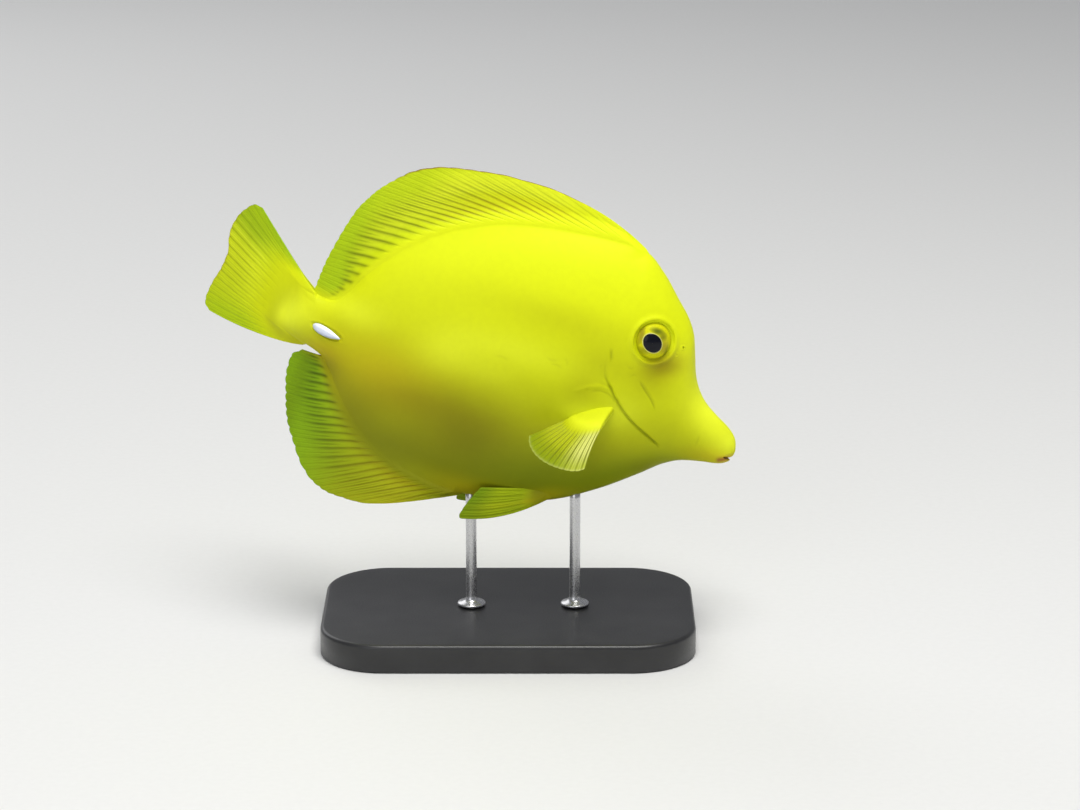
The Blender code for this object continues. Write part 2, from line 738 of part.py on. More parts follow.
def main():
    for obj in list(bpy.data.objects):
        bpy.data.objects.remove(obj)
    look = materials()
    fish = bpy.data.objects.new("fish", None)
    bpy.context.scene.collection.objects.link(fish)
    fish.location = (SNOUT_AHEAD * MM, 0, SNOUT_HEIGHT * MM)
    fish.rotation_euler = (0, math.radians(NOSE_DOWN), 0)

    straight = [
        head(look["skin"]),
        torso(look["skin"]),
        tail_stalk(look["skin"]),
        median_fin("dorsal_fin", BACK_LINE, DORSAL_BASE, 1, DORSAL_MARGIN, DORSAL_SPINES_AND_RAYS,
                   DORSAL_FAN, look["fin"]),
        median_fin("anal_fin", BELLY_LINE, ANAL_BASE, -1, ANAL_MARGIN, ANAL_SPINES_AND_RAYS,
                   ANAL_FAN, look["fin"]),
        caudal_fin(look["fin"]),
    ]
    for word, side in (("right", -1), ("left", 1)):
        straight.append(paired_fin(
            "pectoral_fin_" + word, side, PECTORAL_ROOTS, PECTORAL_LEAD, PECTORAL_TRAIL, PECTORAL_BULGE,
            PECTORAL_BOW, PECTORAL_RAYS, PECTORAL_THICKNESS, PECTORAL_SINK, look["fin"], (0.5,),
        ))
        raised = np.array([0.0, 0.0, LEFT_PELVIC_RAISE if side > 0 else 0.0])
        straight.append(paired_fin(
            "pelvic_fin_" + word, side, PELVIC_ROOTS, PELVIC_LEAD + raised, PELVIC_TRAIL, PELVIC_BULGE,
            PELVIC_BOW, PELVIC_RAYS, PELVIC_THICKNESS, PELVIC_SINK, look["fin"], (0.33, 0.67),
        ))
    straight += eyes(look["eye"])
    straight += tail_spines(look["tail_spine"])
    for obj in straight:
        pose_object(obj)
        shade(obj)
        obj.parent = fish
    shade(stand_base(look["stand_base"]))
    for name, x in ROD_AT.items():
        shade(stand_rod(name, x, look["stand_rod"], fish))


main()
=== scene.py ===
"""Looks of the yellow tang model: skin, fins, eyes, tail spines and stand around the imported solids.

As in the solids, the fish is first built straight: s is the distance behind the snout, y is to its
left and h is above the line from the snout to the tail, in millimetres. world() then bends the tail
and sets the fish nose down over the stand, in metres.
"""

import math

import bpy
import numpy as np
from mathutils import Matrix, Vector

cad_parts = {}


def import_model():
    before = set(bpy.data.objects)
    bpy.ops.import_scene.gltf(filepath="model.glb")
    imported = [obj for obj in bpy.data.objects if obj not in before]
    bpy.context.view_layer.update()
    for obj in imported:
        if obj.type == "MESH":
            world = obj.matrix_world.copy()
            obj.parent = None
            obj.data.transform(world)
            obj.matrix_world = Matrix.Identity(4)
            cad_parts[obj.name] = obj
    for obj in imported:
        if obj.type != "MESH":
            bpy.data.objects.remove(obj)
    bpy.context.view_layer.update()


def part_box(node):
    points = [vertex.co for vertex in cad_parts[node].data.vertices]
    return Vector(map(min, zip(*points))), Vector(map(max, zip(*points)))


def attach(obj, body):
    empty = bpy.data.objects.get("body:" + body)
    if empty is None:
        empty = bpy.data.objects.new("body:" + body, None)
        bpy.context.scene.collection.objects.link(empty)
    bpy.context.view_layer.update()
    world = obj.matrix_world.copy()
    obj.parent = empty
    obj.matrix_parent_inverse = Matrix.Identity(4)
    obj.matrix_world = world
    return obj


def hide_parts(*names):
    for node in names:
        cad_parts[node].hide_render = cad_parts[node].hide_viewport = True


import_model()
MM = 0.001

# Pose of the fish, as in the solids
NOSE_DOWN = 16.8
SNOUT_AHEAD = 63.0
SNOUT_HEIGHT = 53.0
TAIL_BEND = (92.0, 142.0, 38.0)
TAIL_LIFT = (112.0, 136.0, 13.0)
AXIS_LEVEL = 1.0

# Outline of the body without its fins, and its width, as in the solids
BACK_LINE = [
    (0, 0.2), (0.4, 2.0), (1.4, 4.0), (4, 6.3), (8, 8.6), (12, 11.3), (15, 14.6), (17, 18.1), (19, 23.6),
    (21, 28.9), (23.5, 32.7), (28, 37.3), (34, 43.2), (40, 47.3), (47, 48.4), (62, 47.4), (78, 44.6),
    (90, 39.8), (98, 34.8), (105, 28.2), (111, 20.2), (115, 13.2), (118.4, 9.2), (121.5, 8.0), (125, 7.6),
    (131, 7.4),
]
BELLY_LINE = [
    (0.7, -2.6), (1.4, -3.3), (2.6, -4.0), (4.7, -4.6), (8, -5.1), (14, -6.5), (18, -8.6), (24, -13.7),
    (34, -21.5), (45, -28), (56, -31.6), (66, -33.4), (76, -32.8), (86, -31), (94, -28.2), (102, -23.2),
    (110, -15.2), (114, -10.2), (117.5, -7.4), (121, -6.5), (125, -6.2), (131, -5.8),
]
HALF_WIDTH = [
    (3, 2.5), (5, 3.2), (10, 4.3), (16, 5.7), (25, 7.9), (34, 9.7), (44, 11), (58, 11.4), (74, 10.6),
    (90, 8.6), (104, 6.2), (114, 4.6), (122, 3.6), (127, 2.7), (131, 0.9),
]
WIDEST_LEVEL = [
    (3, -1.7), (8, 0), (16, 3), (24, 8), (32, 11), (44, 11), (60, 9), (80, 6), (105, 2.6), (118, 1),
    (131, 0.4),
]
RIDGE_SHARPNESS = [(3, 0.85), (16, 0.95), (30, 1.05), (46, 1.2), (100, 1.25), (122, 1.0), (131, 0.8)]
BODY_END = 131.0
RING_POINTS = 640
FINE_STEP = 0.3
COARSE_STEP = 0.55
FINE_UNTIL = 47.0
FINE_FROM = 108.0

# Mouth rings from the throat out to the lips: (s top, s side, s bottom, h top, h side, h bottom,
# half width)
MOUTH_RINGS = [
    (3.6, 4.1, 3.8, -2.35, -2.45, -2.55, 0.9),
    (2.2, 3.9, 2.5, -2.15, -2.4, -2.5, 1.3),
    (1.0, 3.6, 1.4, -1.85, -2.2, -2.3, 1.75),
    (0.38, 3.35, 0.9, -1.35, -2.05, -2.42, 2.1),
    (0.08, 3.15, 0.72, -0.6, -1.9, -2.56, 2.35),
]
MOUTH_STEPS = 26
MOUTH_SLIT = [(0.6, -1.6), (2.0, -2.0), (3.9, -2.8)]
CORNER_LAG = 3.0
JAW_LAG = 0.7
LAG_FADE = 3.5

# Gill cover: its edge, where it is open, how proud it stands, the groove behind it (depth, place, width),
# and how far the step at its edge reaches where it is open and, further, where it is shut
GILL_EDGE = [
    (37.5, 56), (39, 46), (41.5, 33), (43, 22.6), (42.2, 14.6), (38.6, 9.8), (34.2, 5.2), (30, 2.2),
    (25.6, -0.2), (21.6, -2.6), (19, -7), (17, -16),
]
GILL_OPEN = ((19.0, 10.0), (-3.6, -1.6))
CHEEK_SWELL = 0.55
CHEEK_RANGE = (18.0, 26.0)
GILL_GROOVE = (0.42, 0.34, 0.26)
GILL_STEP = (0.16, 5.0)

# Eye, orbit and nostrils
EYE_AT = (31.8, 25.9)
EYE_SUNK = 0.35
EYE_TURN = (14.0, 8.0)
EYE_GLOBE = (5.0, 2.6, -0.9)
PUPIL_RADIUS = 2.62
PUPIL_OVAL = 0.093
PUPIL_LEAN = -33.0
PUPIL_OFF = (-0.8, -0.5)
# Sections of the pupil's lens and the ring round it: (share of the radius, height above the globe)
PUPIL_LENS = [
    (0.01, 0.26), (0.2, 0.255), (0.4, 0.24), (0.6, 0.21), (0.75, 0.17), (0.87, 0.12), (0.95, 0.07),
    (0.985, 0.03), (1.0, -0.01),
]
PUPIL_RING = [(1.02, 0.05), (1.05, 0.06), (1.08, 0.03), (1.1, -0.08)]
NOSTRILS = [(24.6, 23.6, 0.34), (23.4, 25.8, 0.36)]
NOSTRIL_RIM = [(0.15, 0.12), (0.4, 0.05), (0.65, 0.0), (0.95, -0.05)]

# Tail spine, as in the solids
SPINE_AT = (117.1, 0.5)
SPINE_LENGTH = 8.2
SPINE_DEPTH = 2.5
SPINE_THICKNESS = 1.5
SPINE_DROOP = 3.4
SPINE_PROUD = 0.15
SPINE_HINGE_SWELL = 0.28
SHEATH_DEPTH = 0.35
SHEATH_RIM = 0.05

# The two flanks, and how finely curves and long lists of points are worked out
SIDES = (("right", -1), ("left", 1))
SIDEWAYS = np.array([0.0, 1.0, 0.0])
CURVE_SAMPLES = 600
LINE_BATCH = 40000
OUTLINE_BATCH = 4000


def smooth(points, x):
    """Value at x of the curve through the points, with no overshoot between them."""
    xs, ys = np.array(points, float).T
    steps = np.diff(xs)
    slopes = np.diff(ys) / steps
    tangents = np.zeros(len(xs))
    tangents[0], tangents[-1] = slopes[0], slopes[-1]
    for i in range(1, len(xs) - 1):
        if slopes[i - 1] * slopes[i] > 0:
            a, b = 2 * steps[i] + steps[i - 1], steps[i] + 2 * steps[i - 1]
            tangents[i] = (a + b) / (a / slopes[i - 1] + b / slopes[i])
    x = np.clip(np.asarray(x, float), xs[0], xs[-1])
    i = np.clip(np.searchsorted(xs, x, side="right") - 1, 0, len(xs) - 2)
    t = (x - xs[i]) / steps[i]
    return (
        ys[i] * (1 + 2 * t) * (1 - t) ** 2
        + steps[i] * tangents[i] * t * (1 - t) ** 2
        + ys[i + 1] * t * t * (3 - 2 * t)
        - steps[i] * tangents[i + 1] * t * t * (1 - t)
    )


def run(points):
    """Length of the line through the points, up to each of them."""
    return np.concatenate([[0], np.cumsum(np.linalg.norm(np.diff(points, axis=0), axis=1))])


def part_way(line, shares):
    """Points at these shares of the length of a line of straight pieces."""
    length = run(line)
    wanted = np.asarray(shares, float) * length[-1]
    return np.stack([np.interp(wanted, length, column) for column in np.transpose(line)], axis=1)


def along(points, shares):
    """Points at these shares of the length of the smooth curve through the points."""
    chord = run(points)
    fine = np.linspace(0, chord[-1], CURVE_SAMPLES)
    curve = [smooth(list(zip(chord, column)), fine) for column in np.transpose(points)]
    return part_way(np.stack(curve, axis=1), shares)


def ease(x):
    x = np.clip(x, 0, 1)
    return x * x * (3 - 2 * x)


def bell(x, width):
    return np.exp(-((x / width) ** 2))


def blend(ends, share):
    """From the first of two values to the second."""
    return ends[0] + (ends[1] - ends[0]) * share


def soft_max(a, b):
    """The greater of two thicknesses, without an edge where they meet."""
    return (a**2.5 + b**2.5) ** 0.4


def around(count):
    """Angles evenly round a full turn."""
    return np.linspace(0, 2 * math.pi, count, endpoint=False)


def bend(far, aside, start, stop, degrees):
    """Turns the line aside = 0 by degrees between start and stop, and carries the rest with it."""
    line = np.linspace(start, start + 100, 2001)
    share = np.clip((line - start) / (stop - start), 0, 1)
    turn = math.radians(degrees) * share**2 * (3 - 2 * share)
    step = line[1] - line[0]
    ahead = start + np.concatenate([[0], np.cumsum(np.cos(turn[1:]) * step)])
    off = np.concatenate([[0], np.cumsum(np.sin(turn[1:]) * step)])
    here = np.interp(far, line, turn)
    new_far = np.where(far > start, np.interp(far, line, ahead), far) - aside * np.sin(here)
    return new_far, np.interp(far, line, off) + aside * np.cos(here)


def world(points):
    """Straight fish (s, y, h) in millimetres to the model's own frame in metres."""
    s, y, h = np.array(points, float).reshape(-1, 3).T
    s, lifted = bend(s, h - AXIS_LEVEL, *TAIL_LIFT)
    s, y = bend(s, y, *TAIL_BEND)
    x, z = -s, lifted + AXIS_LEVEL
    turn = math.radians(NOSE_DOWN)
    ahead = x * math.cos(turn) + z * math.sin(turn) + SNOUT_AHEAD
    up = z * math.cos(turn) - x * math.sin(turn) + SNOUT_HEIGHT
    return np.stack([ahead, y, up], axis=1) * MM


def make_mesh(name, points, quads, fields=None, materials=(), face_material=None):
    """A smooth mesh object in the model's frame; fields are named numbers for each point."""
    mesh = bpy.data.meshes.new(name)
    quads = np.asarray(quads, np.int32)
    sides = quads.shape[1]
    mesh.vertices.add(len(points))
    mesh.vertices.foreach_set("co", np.asarray(points, np.float32).ravel())
    mesh.loops.add(quads.size)
    mesh.loops.foreach_set("vertex_index", quads.ravel())
    mesh.polygons.add(len(quads))
    mesh.polygons.foreach_set("loop_start", np.arange(0, quads.size, sides, dtype=np.int32))
    if face_material is not None:
        mesh.polygons.foreach_set("material_index", np.asarray(face_material, np.int32))
    mesh.update(calc_edges=True)
    mesh.validate()
    mesh.shade_smooth()
    for field, values in (fields or {}).items():
        layer = mesh.attributes.new(field, "FLOAT", "POINT")
        layer.data.foreach_set("value", np.asarray(values, np.float32))
    for material in materials:
        mesh.materials.append(material)
    obj = bpy.data.objects.new(name, mesh)
    bpy.context.scene.collection.objects.link(obj)
    return obj


def grid_quads(rows, columns, wrap=False):
    """Quads of a grid whose points follow each other row by row; wrap closes it round the columns."""
    i, j = np.meshgrid(np.arange(rows - 1), np.arange(columns if wrap else columns - 1), indexing="ij")
    k = (j + 1) % columns
    corners = [i * columns + j, i * columns + k, (i + 1) * columns + k, (i + 1) * columns + j]
    return np.stack(corners, axis=-1).reshape(-1, 4)


def facing(points, quads, inside):
    """The quads, turned over if they face the point inside (a place in the straight fish)."""
    right_handed = np.array([-1.0, 1.0, 1.0])
    corners = [points.reshape(-1, 3)[quads[:, i]] * right_handed for i in range(4)]
    area = np.cross(corners[2] - corners[0], corners[3] - corners[1])
    middle = sum(corners) / 4 - np.asarray(inside) * right_handed
    return quads if (area * middle).sum() > 0 else quads[:, ::-1]


def tube(grid, inside):
    """Quads of a grid closed round its columns, facing away from the place inside."""
    return facing(grid, grid_quads(*grid.shape[:2], wrap=True), inside)


def line_distance(s, h, line):
    """Distance of these places from a line, positive on the side that is behind a falling line."""
    points = np.stack([s, h], axis=-1).reshape(-1, 2)
    line = np.asarray(line, float)
    start, step = line[:-1], np.diff(line, axis=0)
    length = (step**2).sum(axis=1)
    found = np.empty(len(points))
    for low in range(0, len(points), LINE_BATCH):
        part = points[low : low + LINE_BATCH, None] - start[None]
        share = np.clip((part * step).sum(axis=2) / length, 0, 1)
        far = ((part - share[..., None] * step) ** 2).sum(axis=2)
        best = far.argmin(axis=1)
        row = np.arange(len(best))
        side = step[best, 0] * part[row, best, 1] - step[best, 1] * part[row, best, 0]
        found[low : low + LINE_BATCH] = np.sqrt(far[row, best]) * np.where(side < 0, -1, 1)
    return found.reshape(np.shape(s))


def cheek(s):
    """How far the gill cover and cheek stand proud of the body at s."""
    start, stop = CHEEK_RANGE
    return CHEEK_SWELL * smooth([(start, 0), (stop, 1)], s)


GILL_LINE = along(GILL_EDGE, np.linspace(0, 1, 90))


def gill_cover(s, h):
    """(share of the cheek's swell, depth of the groove behind it) at this place on the flank."""
    behind = line_distance(s, h, GILL_LINE)
    (high, full_high), (low, full_low) = GILL_OPEN
    opened = ease((high - h) / (high - full_high)) * ease((h - low) / (full_low - low))
    step, shut = GILL_STEP
    width = step + shut * (1 - opened)
    depth, at, spread = GILL_GROOVE
    return 1 - ease((behind + width) / (2 * width)), opened * depth * bell(behind - at, spread)


def flank(s, h, swell=1.0):
    """Half width of the body at this place on its flank, 0 outside its outline."""
    level = smooth(WIDEST_LEVEL, s)
    above = h > level
    edge = np.where(above, smooth(BACK_LINE, s), smooth(BELLY_LINE, s))
    up = np.clip((h - level) / (edge - level), 0, 1)
    half = smooth(HALF_WIDTH, s)
    if swell:
        half = half + swell * cheek(s) * gill_cover(s, h)[0]
    return half * (1 - up * up) ** (smooth(RIDGE_SHARPNESS, s) / 2)


# Fine relief of the flank: (points, depth or height, half width) of soft folds, in millimetres
FOLDS = [
    ([(32.8, 14.6), (30.4, 12.3), (28.2, 10.3), (26.6, 8.5), (25.6, 6.9)], -0.22, 0.24),
    ([(32.3, 15.3), (29.9, 13.0), (27.7, 11.0), (26.0, 9.2)], 0.14, 0.45),
    ([(42.9, 21.6), (42.1, 19.2), (41.5, 17.0)], -0.26, 0.35),
    ([(43.2, 16.6), (44.0, 15.6), (43.4, 14.8)], -0.12, 0.3),
    ([(37.5, 17.9), (35.9, 17.3), (34.8, 18.2)], -0.14, 0.26),
    ([(36.0, 14.2), (34.6, 15.6), (33.0, 16.0)], -0.1, 0.25),
    ([(59.4, 14.4), (57.2, 13.4), (55.0, 14.2)], -0.1, 0.3),
    ([(58.0, 12.2), (55.6, 12.6), (53.4, 11.8)], -0.1, 0.3),
    ([(54.6, 15.6), (53.2, 14.2), (52.6, 12.6)], -0.08, 0.28),
    ([(73.0, 9.8), (70.4, 10.4), (68.0, 9.6)], -0.08, 0.35),
    ([(11.7, 3.6), (11.5, 1.4), (11.7, -1.2)], -0.09, 0.3),
    ([(36.4, 7.6), (38.4, 9.4), (41.5, 10.2), (45.5, 9.0), (49.3, 6.2)], 0.20, 0.5),
    ([(36.8, 6.6), (38.8, 8.2), (41.8, 8.9), (45.0, 7.8)], -0.16, 0.3),
    ([(36.6, 9.2), (39.4, 11.4), (43.6, 12.0)], 0.10, 0.5),
    ([(37.4, 8.4), (40.2, 10.6), (44.0, 11.0)], -0.08, 0.25),
    ([(47.0, 47.0), (55.0, 46.8), (64.0, 45.8), (73.0, 44.3), (82.0, 41.2)], -0.30, 1.1),
]
# The hollow before the eye and the swelling behind it: (behind the eye, above it, height, width)
EYE_SWELLS = [(-4.2, -7.4, -0.45, 3.6), (1.0, 8.0, 0.25, 4.5)]
FOLDS_BETWEEN = (5, 84)
FOLD_POINTS = 24
CREASE_SHADE = 1.4


def relief(s, h):
    """How far the skin stands out of the plain flank at each place, and how much shade is painted into its
    creases.
    """
    rise, crease_shade = np.zeros(np.shape(s)), np.zeros(np.shape(s))
    first, last = FOLDS_BETWEEN
    near = (s > first) & (s < last)
    there = s[near], h[near]
    for line, height, width in FOLDS:
        fine = along(line, np.linspace(0, 1, FOLD_POINTS))
        ends = [np.hypot(there[0] - end[0], there[1] - end[1]) for end in (fine[0], fine[-1])]
        fold = bell(line_distance(*there, fine), width) * ease(np.minimum(*ends) / 2)
        rise[near] += height * fold
        crease_shade[near] += CREASE_SHADE * max(-height, 0) * fold
    rise[near] -= gill_cover(*there)[1]
    for behind, above, height, width in EYE_SWELLS:
        rise += height * bell(np.hypot(s - EYE_AT[0] - behind, h - EYE_AT[1] - above), width)
    return rise, crease_shade


def grid_normals(grid, wrap):
    """Unit normals of a grid of points, pointing to its outer side."""
    along_rows = np.gradient(grid, axis=0)
    if wrap:
        across_rows = (np.roll(grid, -1, axis=1) - np.roll(grid, 1, axis=1)) / 2
    else:
        across_rows = np.gradient(grid, axis=1)
    normal = np.cross(along_rows, across_rows)
    length = np.linalg.norm(normal, axis=2)[..., None]
    return normal / np.where(length > 0, length, 1)


def body_stations():
    """Distances behind the snout, evenly spaced along the back."""
    fine = np.linspace(0, BODY_END, 4000)
    length = run(np.stack([fine, smooth(BACK_LINE, fine)], axis=1))
    ends = [0.0, *np.interp([FINE_UNTIL, FINE_FROM], fine, length), length[-1]]
    places = [np.zeros(1)]
    for start, stop, step in zip(ends, ends[1:], (FINE_STEP, COARSE_STEP, FINE_STEP)):
        places.append(np.linspace(start, stop, int((stop - start) / step) + 1)[1:])
    return np.interp(np.concatenate(places), length, fine)


def body_rows(s):
    """Ring sizes at each station: near the mouth the sides and the jaw lag behind the top."""
    lag = np.exp(-s / LAG_FADE)
    side = np.minimum(s + CORNER_LAG * lag, BODY_END)
    jaw = np.minimum(s + JAW_LAG * lag, BODY_END)
    return np.stack([
        s, side, jaw, smooth(BACK_LINE, s), smooth(WIDEST_LEVEL, side), smooth(BELLY_LINE, jaw),
        smooth(HALF_WIDTH, side), smooth(RIDGE_SHARPNESS, side),
    ], axis=1)


def skin_grid():
    """Grid of the whole body's skin, mouth included, and how far each point lies in the mouth."""
    body = body_rows(body_stations())
    inner = np.array([(*row, 1.0) for row in MOUTH_RINGS] + [tuple(body[0])])
    mouth = along(inner, np.linspace(0, 1, MOUTH_STEPS))[:-1]
    rows = np.concatenate([mouth, body])[:, None, :]
    angle = around(RING_POINTS)
    up, out = np.sin(angle), np.cos(angle)
    s_top, s_side, s_bottom, h_top, h_side, h_bottom, half, sharp = np.moveaxis(rows, 2, 0)
    h = h_side + np.where(up > 0, h_top - h_side, h_side - h_bottom) * up
    s = s_side + np.where(up > 0, s_top - s_side, s_bottom - s_side) * up**2
    proud = np.zeros(s.shape)
    covered = s < FINE_UNTIL
    proud[covered] = cheek(s[covered]) * gill_cover(s[covered], h[covered])[0]
    y = (half + proud) * np.sign(out) * np.abs(out) ** sharp
    depth = np.clip(1 - np.arange(len(rows)) / (MOUTH_STEPS - 1), 0, 1)
    return np.stack([s, y, h], axis=2), np.repeat(depth[:, None], RING_POINTS, axis=1)


def on_side(s, h, outward, sunk=0.0):
    """The place at (s, h) on the flank that outward names, sunk in by so much."""
    return np.array([s, outward * (float(flank(s, h)) - sunk), h])


def eye_frame(outward):
    """Middle of the eye, its axis, and its forward and upward directions on that flank."""
    forward, up = (math.radians(degrees) for degrees in EYE_TURN)
    axis = np.array([-math.sin(forward), outward * math.cos(forward) * math.cos(up), math.sin(up)])
    axis /= np.linalg.norm(axis)
    ahead = np.array([-1.0, 0.0, 0.0])
    ahead -= (ahead @ axis) * axis
    ahead /= np.linalg.norm(ahead)
    return on_side(*EYE_AT, outward, EYE_SUNK), axis, ahead, np.cross(axis, ahead) * outward


def spokes(count, ahead, upward):
    """Directions evenly round the eye's axis."""
    angle = around(count)[:, None]
    return np.cos(angle) * ahead + np.sin(angle) * upward


def on_flank(centre, axis, across, outward):
    """Moves points of the plane through centre along the axis until they lie on the flank."""
    points = centre + across
    for _ in range(6):
        miss = flank(points[..., 0], points[..., 2]) - np.abs(points[..., 1])
        points = points + (miss / (outward * axis[1]))[..., None] * axis
    return points


def flank_only(grid):
    """1 on the flanks, fading to 0 at the ridges of back and belly and inside the mouth."""
    return ease(np.abs(grid[..., 1]) / 2) * ease((grid[..., 0] - 2) / 3)


def spine_groove(grid):
    """Depth of the sheath that each tail spine lies in, with a low rim."""
    s, h = SPINE_AT
    ahead = grid[..., 0] - s
    level = grid[..., 2] - h - ahead * math.tan(math.radians(SPINE_DROOP))
    off = np.hypot(ahead / (SPINE_LENGTH / 2 + 0.5), level / (SPINE_DEPTH / 2 + 0.4))
    return SHEATH_DEPTH * (1 - ease((off - 0.85) / 0.25)) - SHEATH_RIM * bell(off - 1.2, 0.14)


def pressed(grid, normal, rise):
    """The skin with its relief, pressed in where the eyes, nostrils and spines have their own pieces."""
    points = grid + (rise * flank_only(grid))[..., None] * normal
    for _, outward in SIDES:
        centre, axis, *_ = eye_frame(outward)
        presses = [(centre, ORBIT_PRESS)]
        for s, h, radius in NOSTRILS:
            presses.append((on_side(s, h, outward), (radius + 0.25, radius + 0.6, 1.5)))
        for place, (inner, outer, depth) in presses:
            away = grid - place
            off = np.linalg.norm(away - (away @ axis)[..., None] * axis, axis=2)
            push = depth * (1 - ease((off - inner) / (outer - inner))) * (grid[..., 1] * outward > 0)
            points = points - push[..., None] * axis
    return points - spine_groove(grid)[..., None] * np.sign(grid[..., 1:2]) * SIDEWAYS


# The skin is pressed in below the orbit's own ring: (inner radius, outer radius, depth)
ORBIT_PRESS = (6.5, 7.5, 3.0)
# Section of the ring round the eye: (radius, height above the flank)
ORBIT_RING = [
    (4.3, -1.9), (4.7, -1.25), (5.0, -0.8), (5.3, -0.62), (5.6, -0.5), (5.8, -0.3), (5.92, 0.0),
    (6.05, 0.24), (6.3, 0.36), (6.6, 0.33), (7.0, 0.17), (7.4, 0.06), (7.8, 0.005), (8.3, -0.03),
    (8.8, -0.09),
]
# Painted shade on the two pieces' sunken inner parts, down in the orbit and the nostril pits: (strength,
# share of the section where it fades, over how much)
ORBIT_SHADE = (0.12, 1 / 4.5, 0.8 / 4.5)
NOSTRIL_SHADE = (0.45, 0.2, 0.2)


def patch(outward, place, section, segments, dark):
    """A round piece of skin on the flank, turned about the eye's axis, from its middle outwards."""
    _, axis, ahead, upward = eye_frame(outward)
    radius, height = along(section, np.linspace(0, 1, 6 * len(section))).T[..., None]
    base = on_flank(place, axis, radius[..., None] * spokes(segments, ahead, upward), outward)
    grid = base + (height + relief(base[..., 0], base[..., 2])[0])[..., None] * axis
    # Painted shade on the sunken middle of the piece, fading outwards
    strength, start, fade = dark
    share = np.linspace(0, 1, len(grid))[:, None]
    fields = skin_fields(grid, dark=strength * (1 - ease((share - start) / fade)))
    return grid, tube(grid, place - 20 * axis), fields


def spots(places, s, h):
    """Sum of soft oval spots: (s, h, half length, half width, tilt in degrees, strength)."""
    total = np.zeros(np.shape(s))
    for at, up, long, wide, tilt, strength in places:
        turn = math.radians(tilt)
        ahead = (s - at) * math.cos(turn) + (h - up) * math.sin(turn)
        across = (h - up) * math.cos(turn) - (s - at) * math.sin(turn)
        total += strength * bell(np.hypot(ahead / long, across / wide), 1)
    return np.clip(total, 0, 1)


# Spots on the body, in four lists: a golden tint, the fish's warmer hue on snout, chin and belly edge and
# the brown of the painted shade under the eye and on the rear flank; then brownish painted shade; then
# greenish painted shade;
# then painted light where the body is lighter than the rest at its height
BODY_SPOTS = {
    "warm": [
        (7, -2.5, 9, 3.5, -15, 0.5), (2.4, -2.2, 2.6, 1.8, 0, 0.5), (26.8, 20.4, 5.5, 3.2, -17, 0.4),
        (101, -4, 18, 10, 0, 0.6), (66, -31, 12, 3.5, 0, 0.5), (46, -25.5, 6, 2.2, -20, 0.5),
        (117, -5, 5, 3, 0, 0.4),
    ],
    "shade": [
        (26.8, 20.2, 5.8, 3.6, -17, 0.85), (29, 15, 6, 5, 0, 0.45), (43, 17, 9, 5, 0, 0.35),
        (47, 8, 5, 5, 0, 0.35), (92, -9, 13, 7, -10, 0.5), (56, 25, 24, 5, 0, 0.3), (115, -9, 5, 5, 0, 0.5),
        (73, -10, 13, 9, 0, 0.6), (77, -19, 16, 7, -15, 0.3), (22, -10, 6, 3, -20, 0.4),
        (106, -18, 10, 7, 50, 0.35),
    ],
    "deep": [
        (28, -12.5, 16, 5, -33, 0.5), (54, -21, 17, 9, -8, 0.45), (40, -13, 15, 8, -20, 0.15),
        (14, -6, 7, 2.5, -8, 0.3),
    ],
    "bright": [
        (9, 7.5, 9, 5, 40, 0.75), (2, 2.5, 3.5, 3.5, 0, 0.6), (20.5, 23, 5, 6, 60, 0.4),
        (68, 13, 17, 4.5, 0, 0.4), (85, 7, 9, 6, -10, 0.45), (72, 5, 7, 4, 0, 0.2),
        (45, 1.5, 6, 3.5, -10, 0.5), (34.5, 4, 5, 5, 0, 0.4), (112, 9, 8, 4, 0, 0.5),
        (127.5, 1.2, 7, 5, 0, 0.75), (131.5, -3, 5, 3.5, 0, 0.6), (12, 14, 6, 6, 60, 0.45),
        (83, -31, 9, 4, 10, 0.1),
    ],
}


def skin_fields(grid, foot=1.0, **more):
    """The named numbers that the skin's material reads: places, the body's spots and extras.

    foot is the share of the body's spots, with their painted light and shade, 1 on the body and 0 far out on
    a fin.
    """
    flat = grid.reshape(-1, 3)
    fields = {name: np.zeros(len(flat)) for name in ("fin", "dark", "pale", "mouth", "edge", "gold")}
    fields.update({"far": flat[:, 0], "high": flat[:, 2]})
    for name, places in BODY_SPOTS.items():
        fields[name] = (spots(places, grid[..., 0], grid[..., 2]) * foot).ravel()
    for name, values in more.items():
        fields[name] = np.broadcast_to(values, grid.shape[:2]).ravel()
    return fields


def join_grids(pieces):
    """Points, quads and fields of several grids as one."""
    points, quads, fields = [], [], {}
    start = 0
    for piece_points, piece_quads, piece_fields in pieces:
        points.append(piece_points.reshape(-1, 3))
        quads.append(piece_quads + start)
        start += len(points[-1])
        for name, values in piece_fields.items():
            fields.setdefault(name, []).append(values)
    return np.concatenate(points), np.concatenate(quads), {n: np.concatenate(v) for n, v in fields.items()}


def end_cap(grid, row, behind):
    """Closes a tube at this row; its inside is the side that lies behind by so much."""
    columns = grid.shape[1]
    ring = np.arange(columns) + row * columns
    left, right = ring[: columns // 2], ring[columns // 2 :][::-1]
    strip = np.stack([left[:-1], left[1:], right[1:], right[:-1]], axis=1)
    return facing(grid, strip, grid[row].mean(axis=0) + np.array([behind, 0.0, 0.0]))


def closed(grid, behind):
    """Quads of a tube and its two ends; its inside lies behind the first ring by so much."""
    ends = ((0, behind), (len(grid) - 1, -behind))
    middle = grid.reshape(-1, 3).mean(axis=0)
    return np.concatenate([tube(grid, middle), *(end_cap(grid, row, by) for row, by in ends)])


def nostril_section(radius):
    """(radius, height above the flank) from the bottom of the pit over its rim and out."""
    pit = [(0.01, -0.9), (0.55 * radius, -0.75), (0.85 * radius, -0.3), (radius, 0.03)]
    return pit + [(radius + out, height) for out, height in NOSTRIL_RIM]


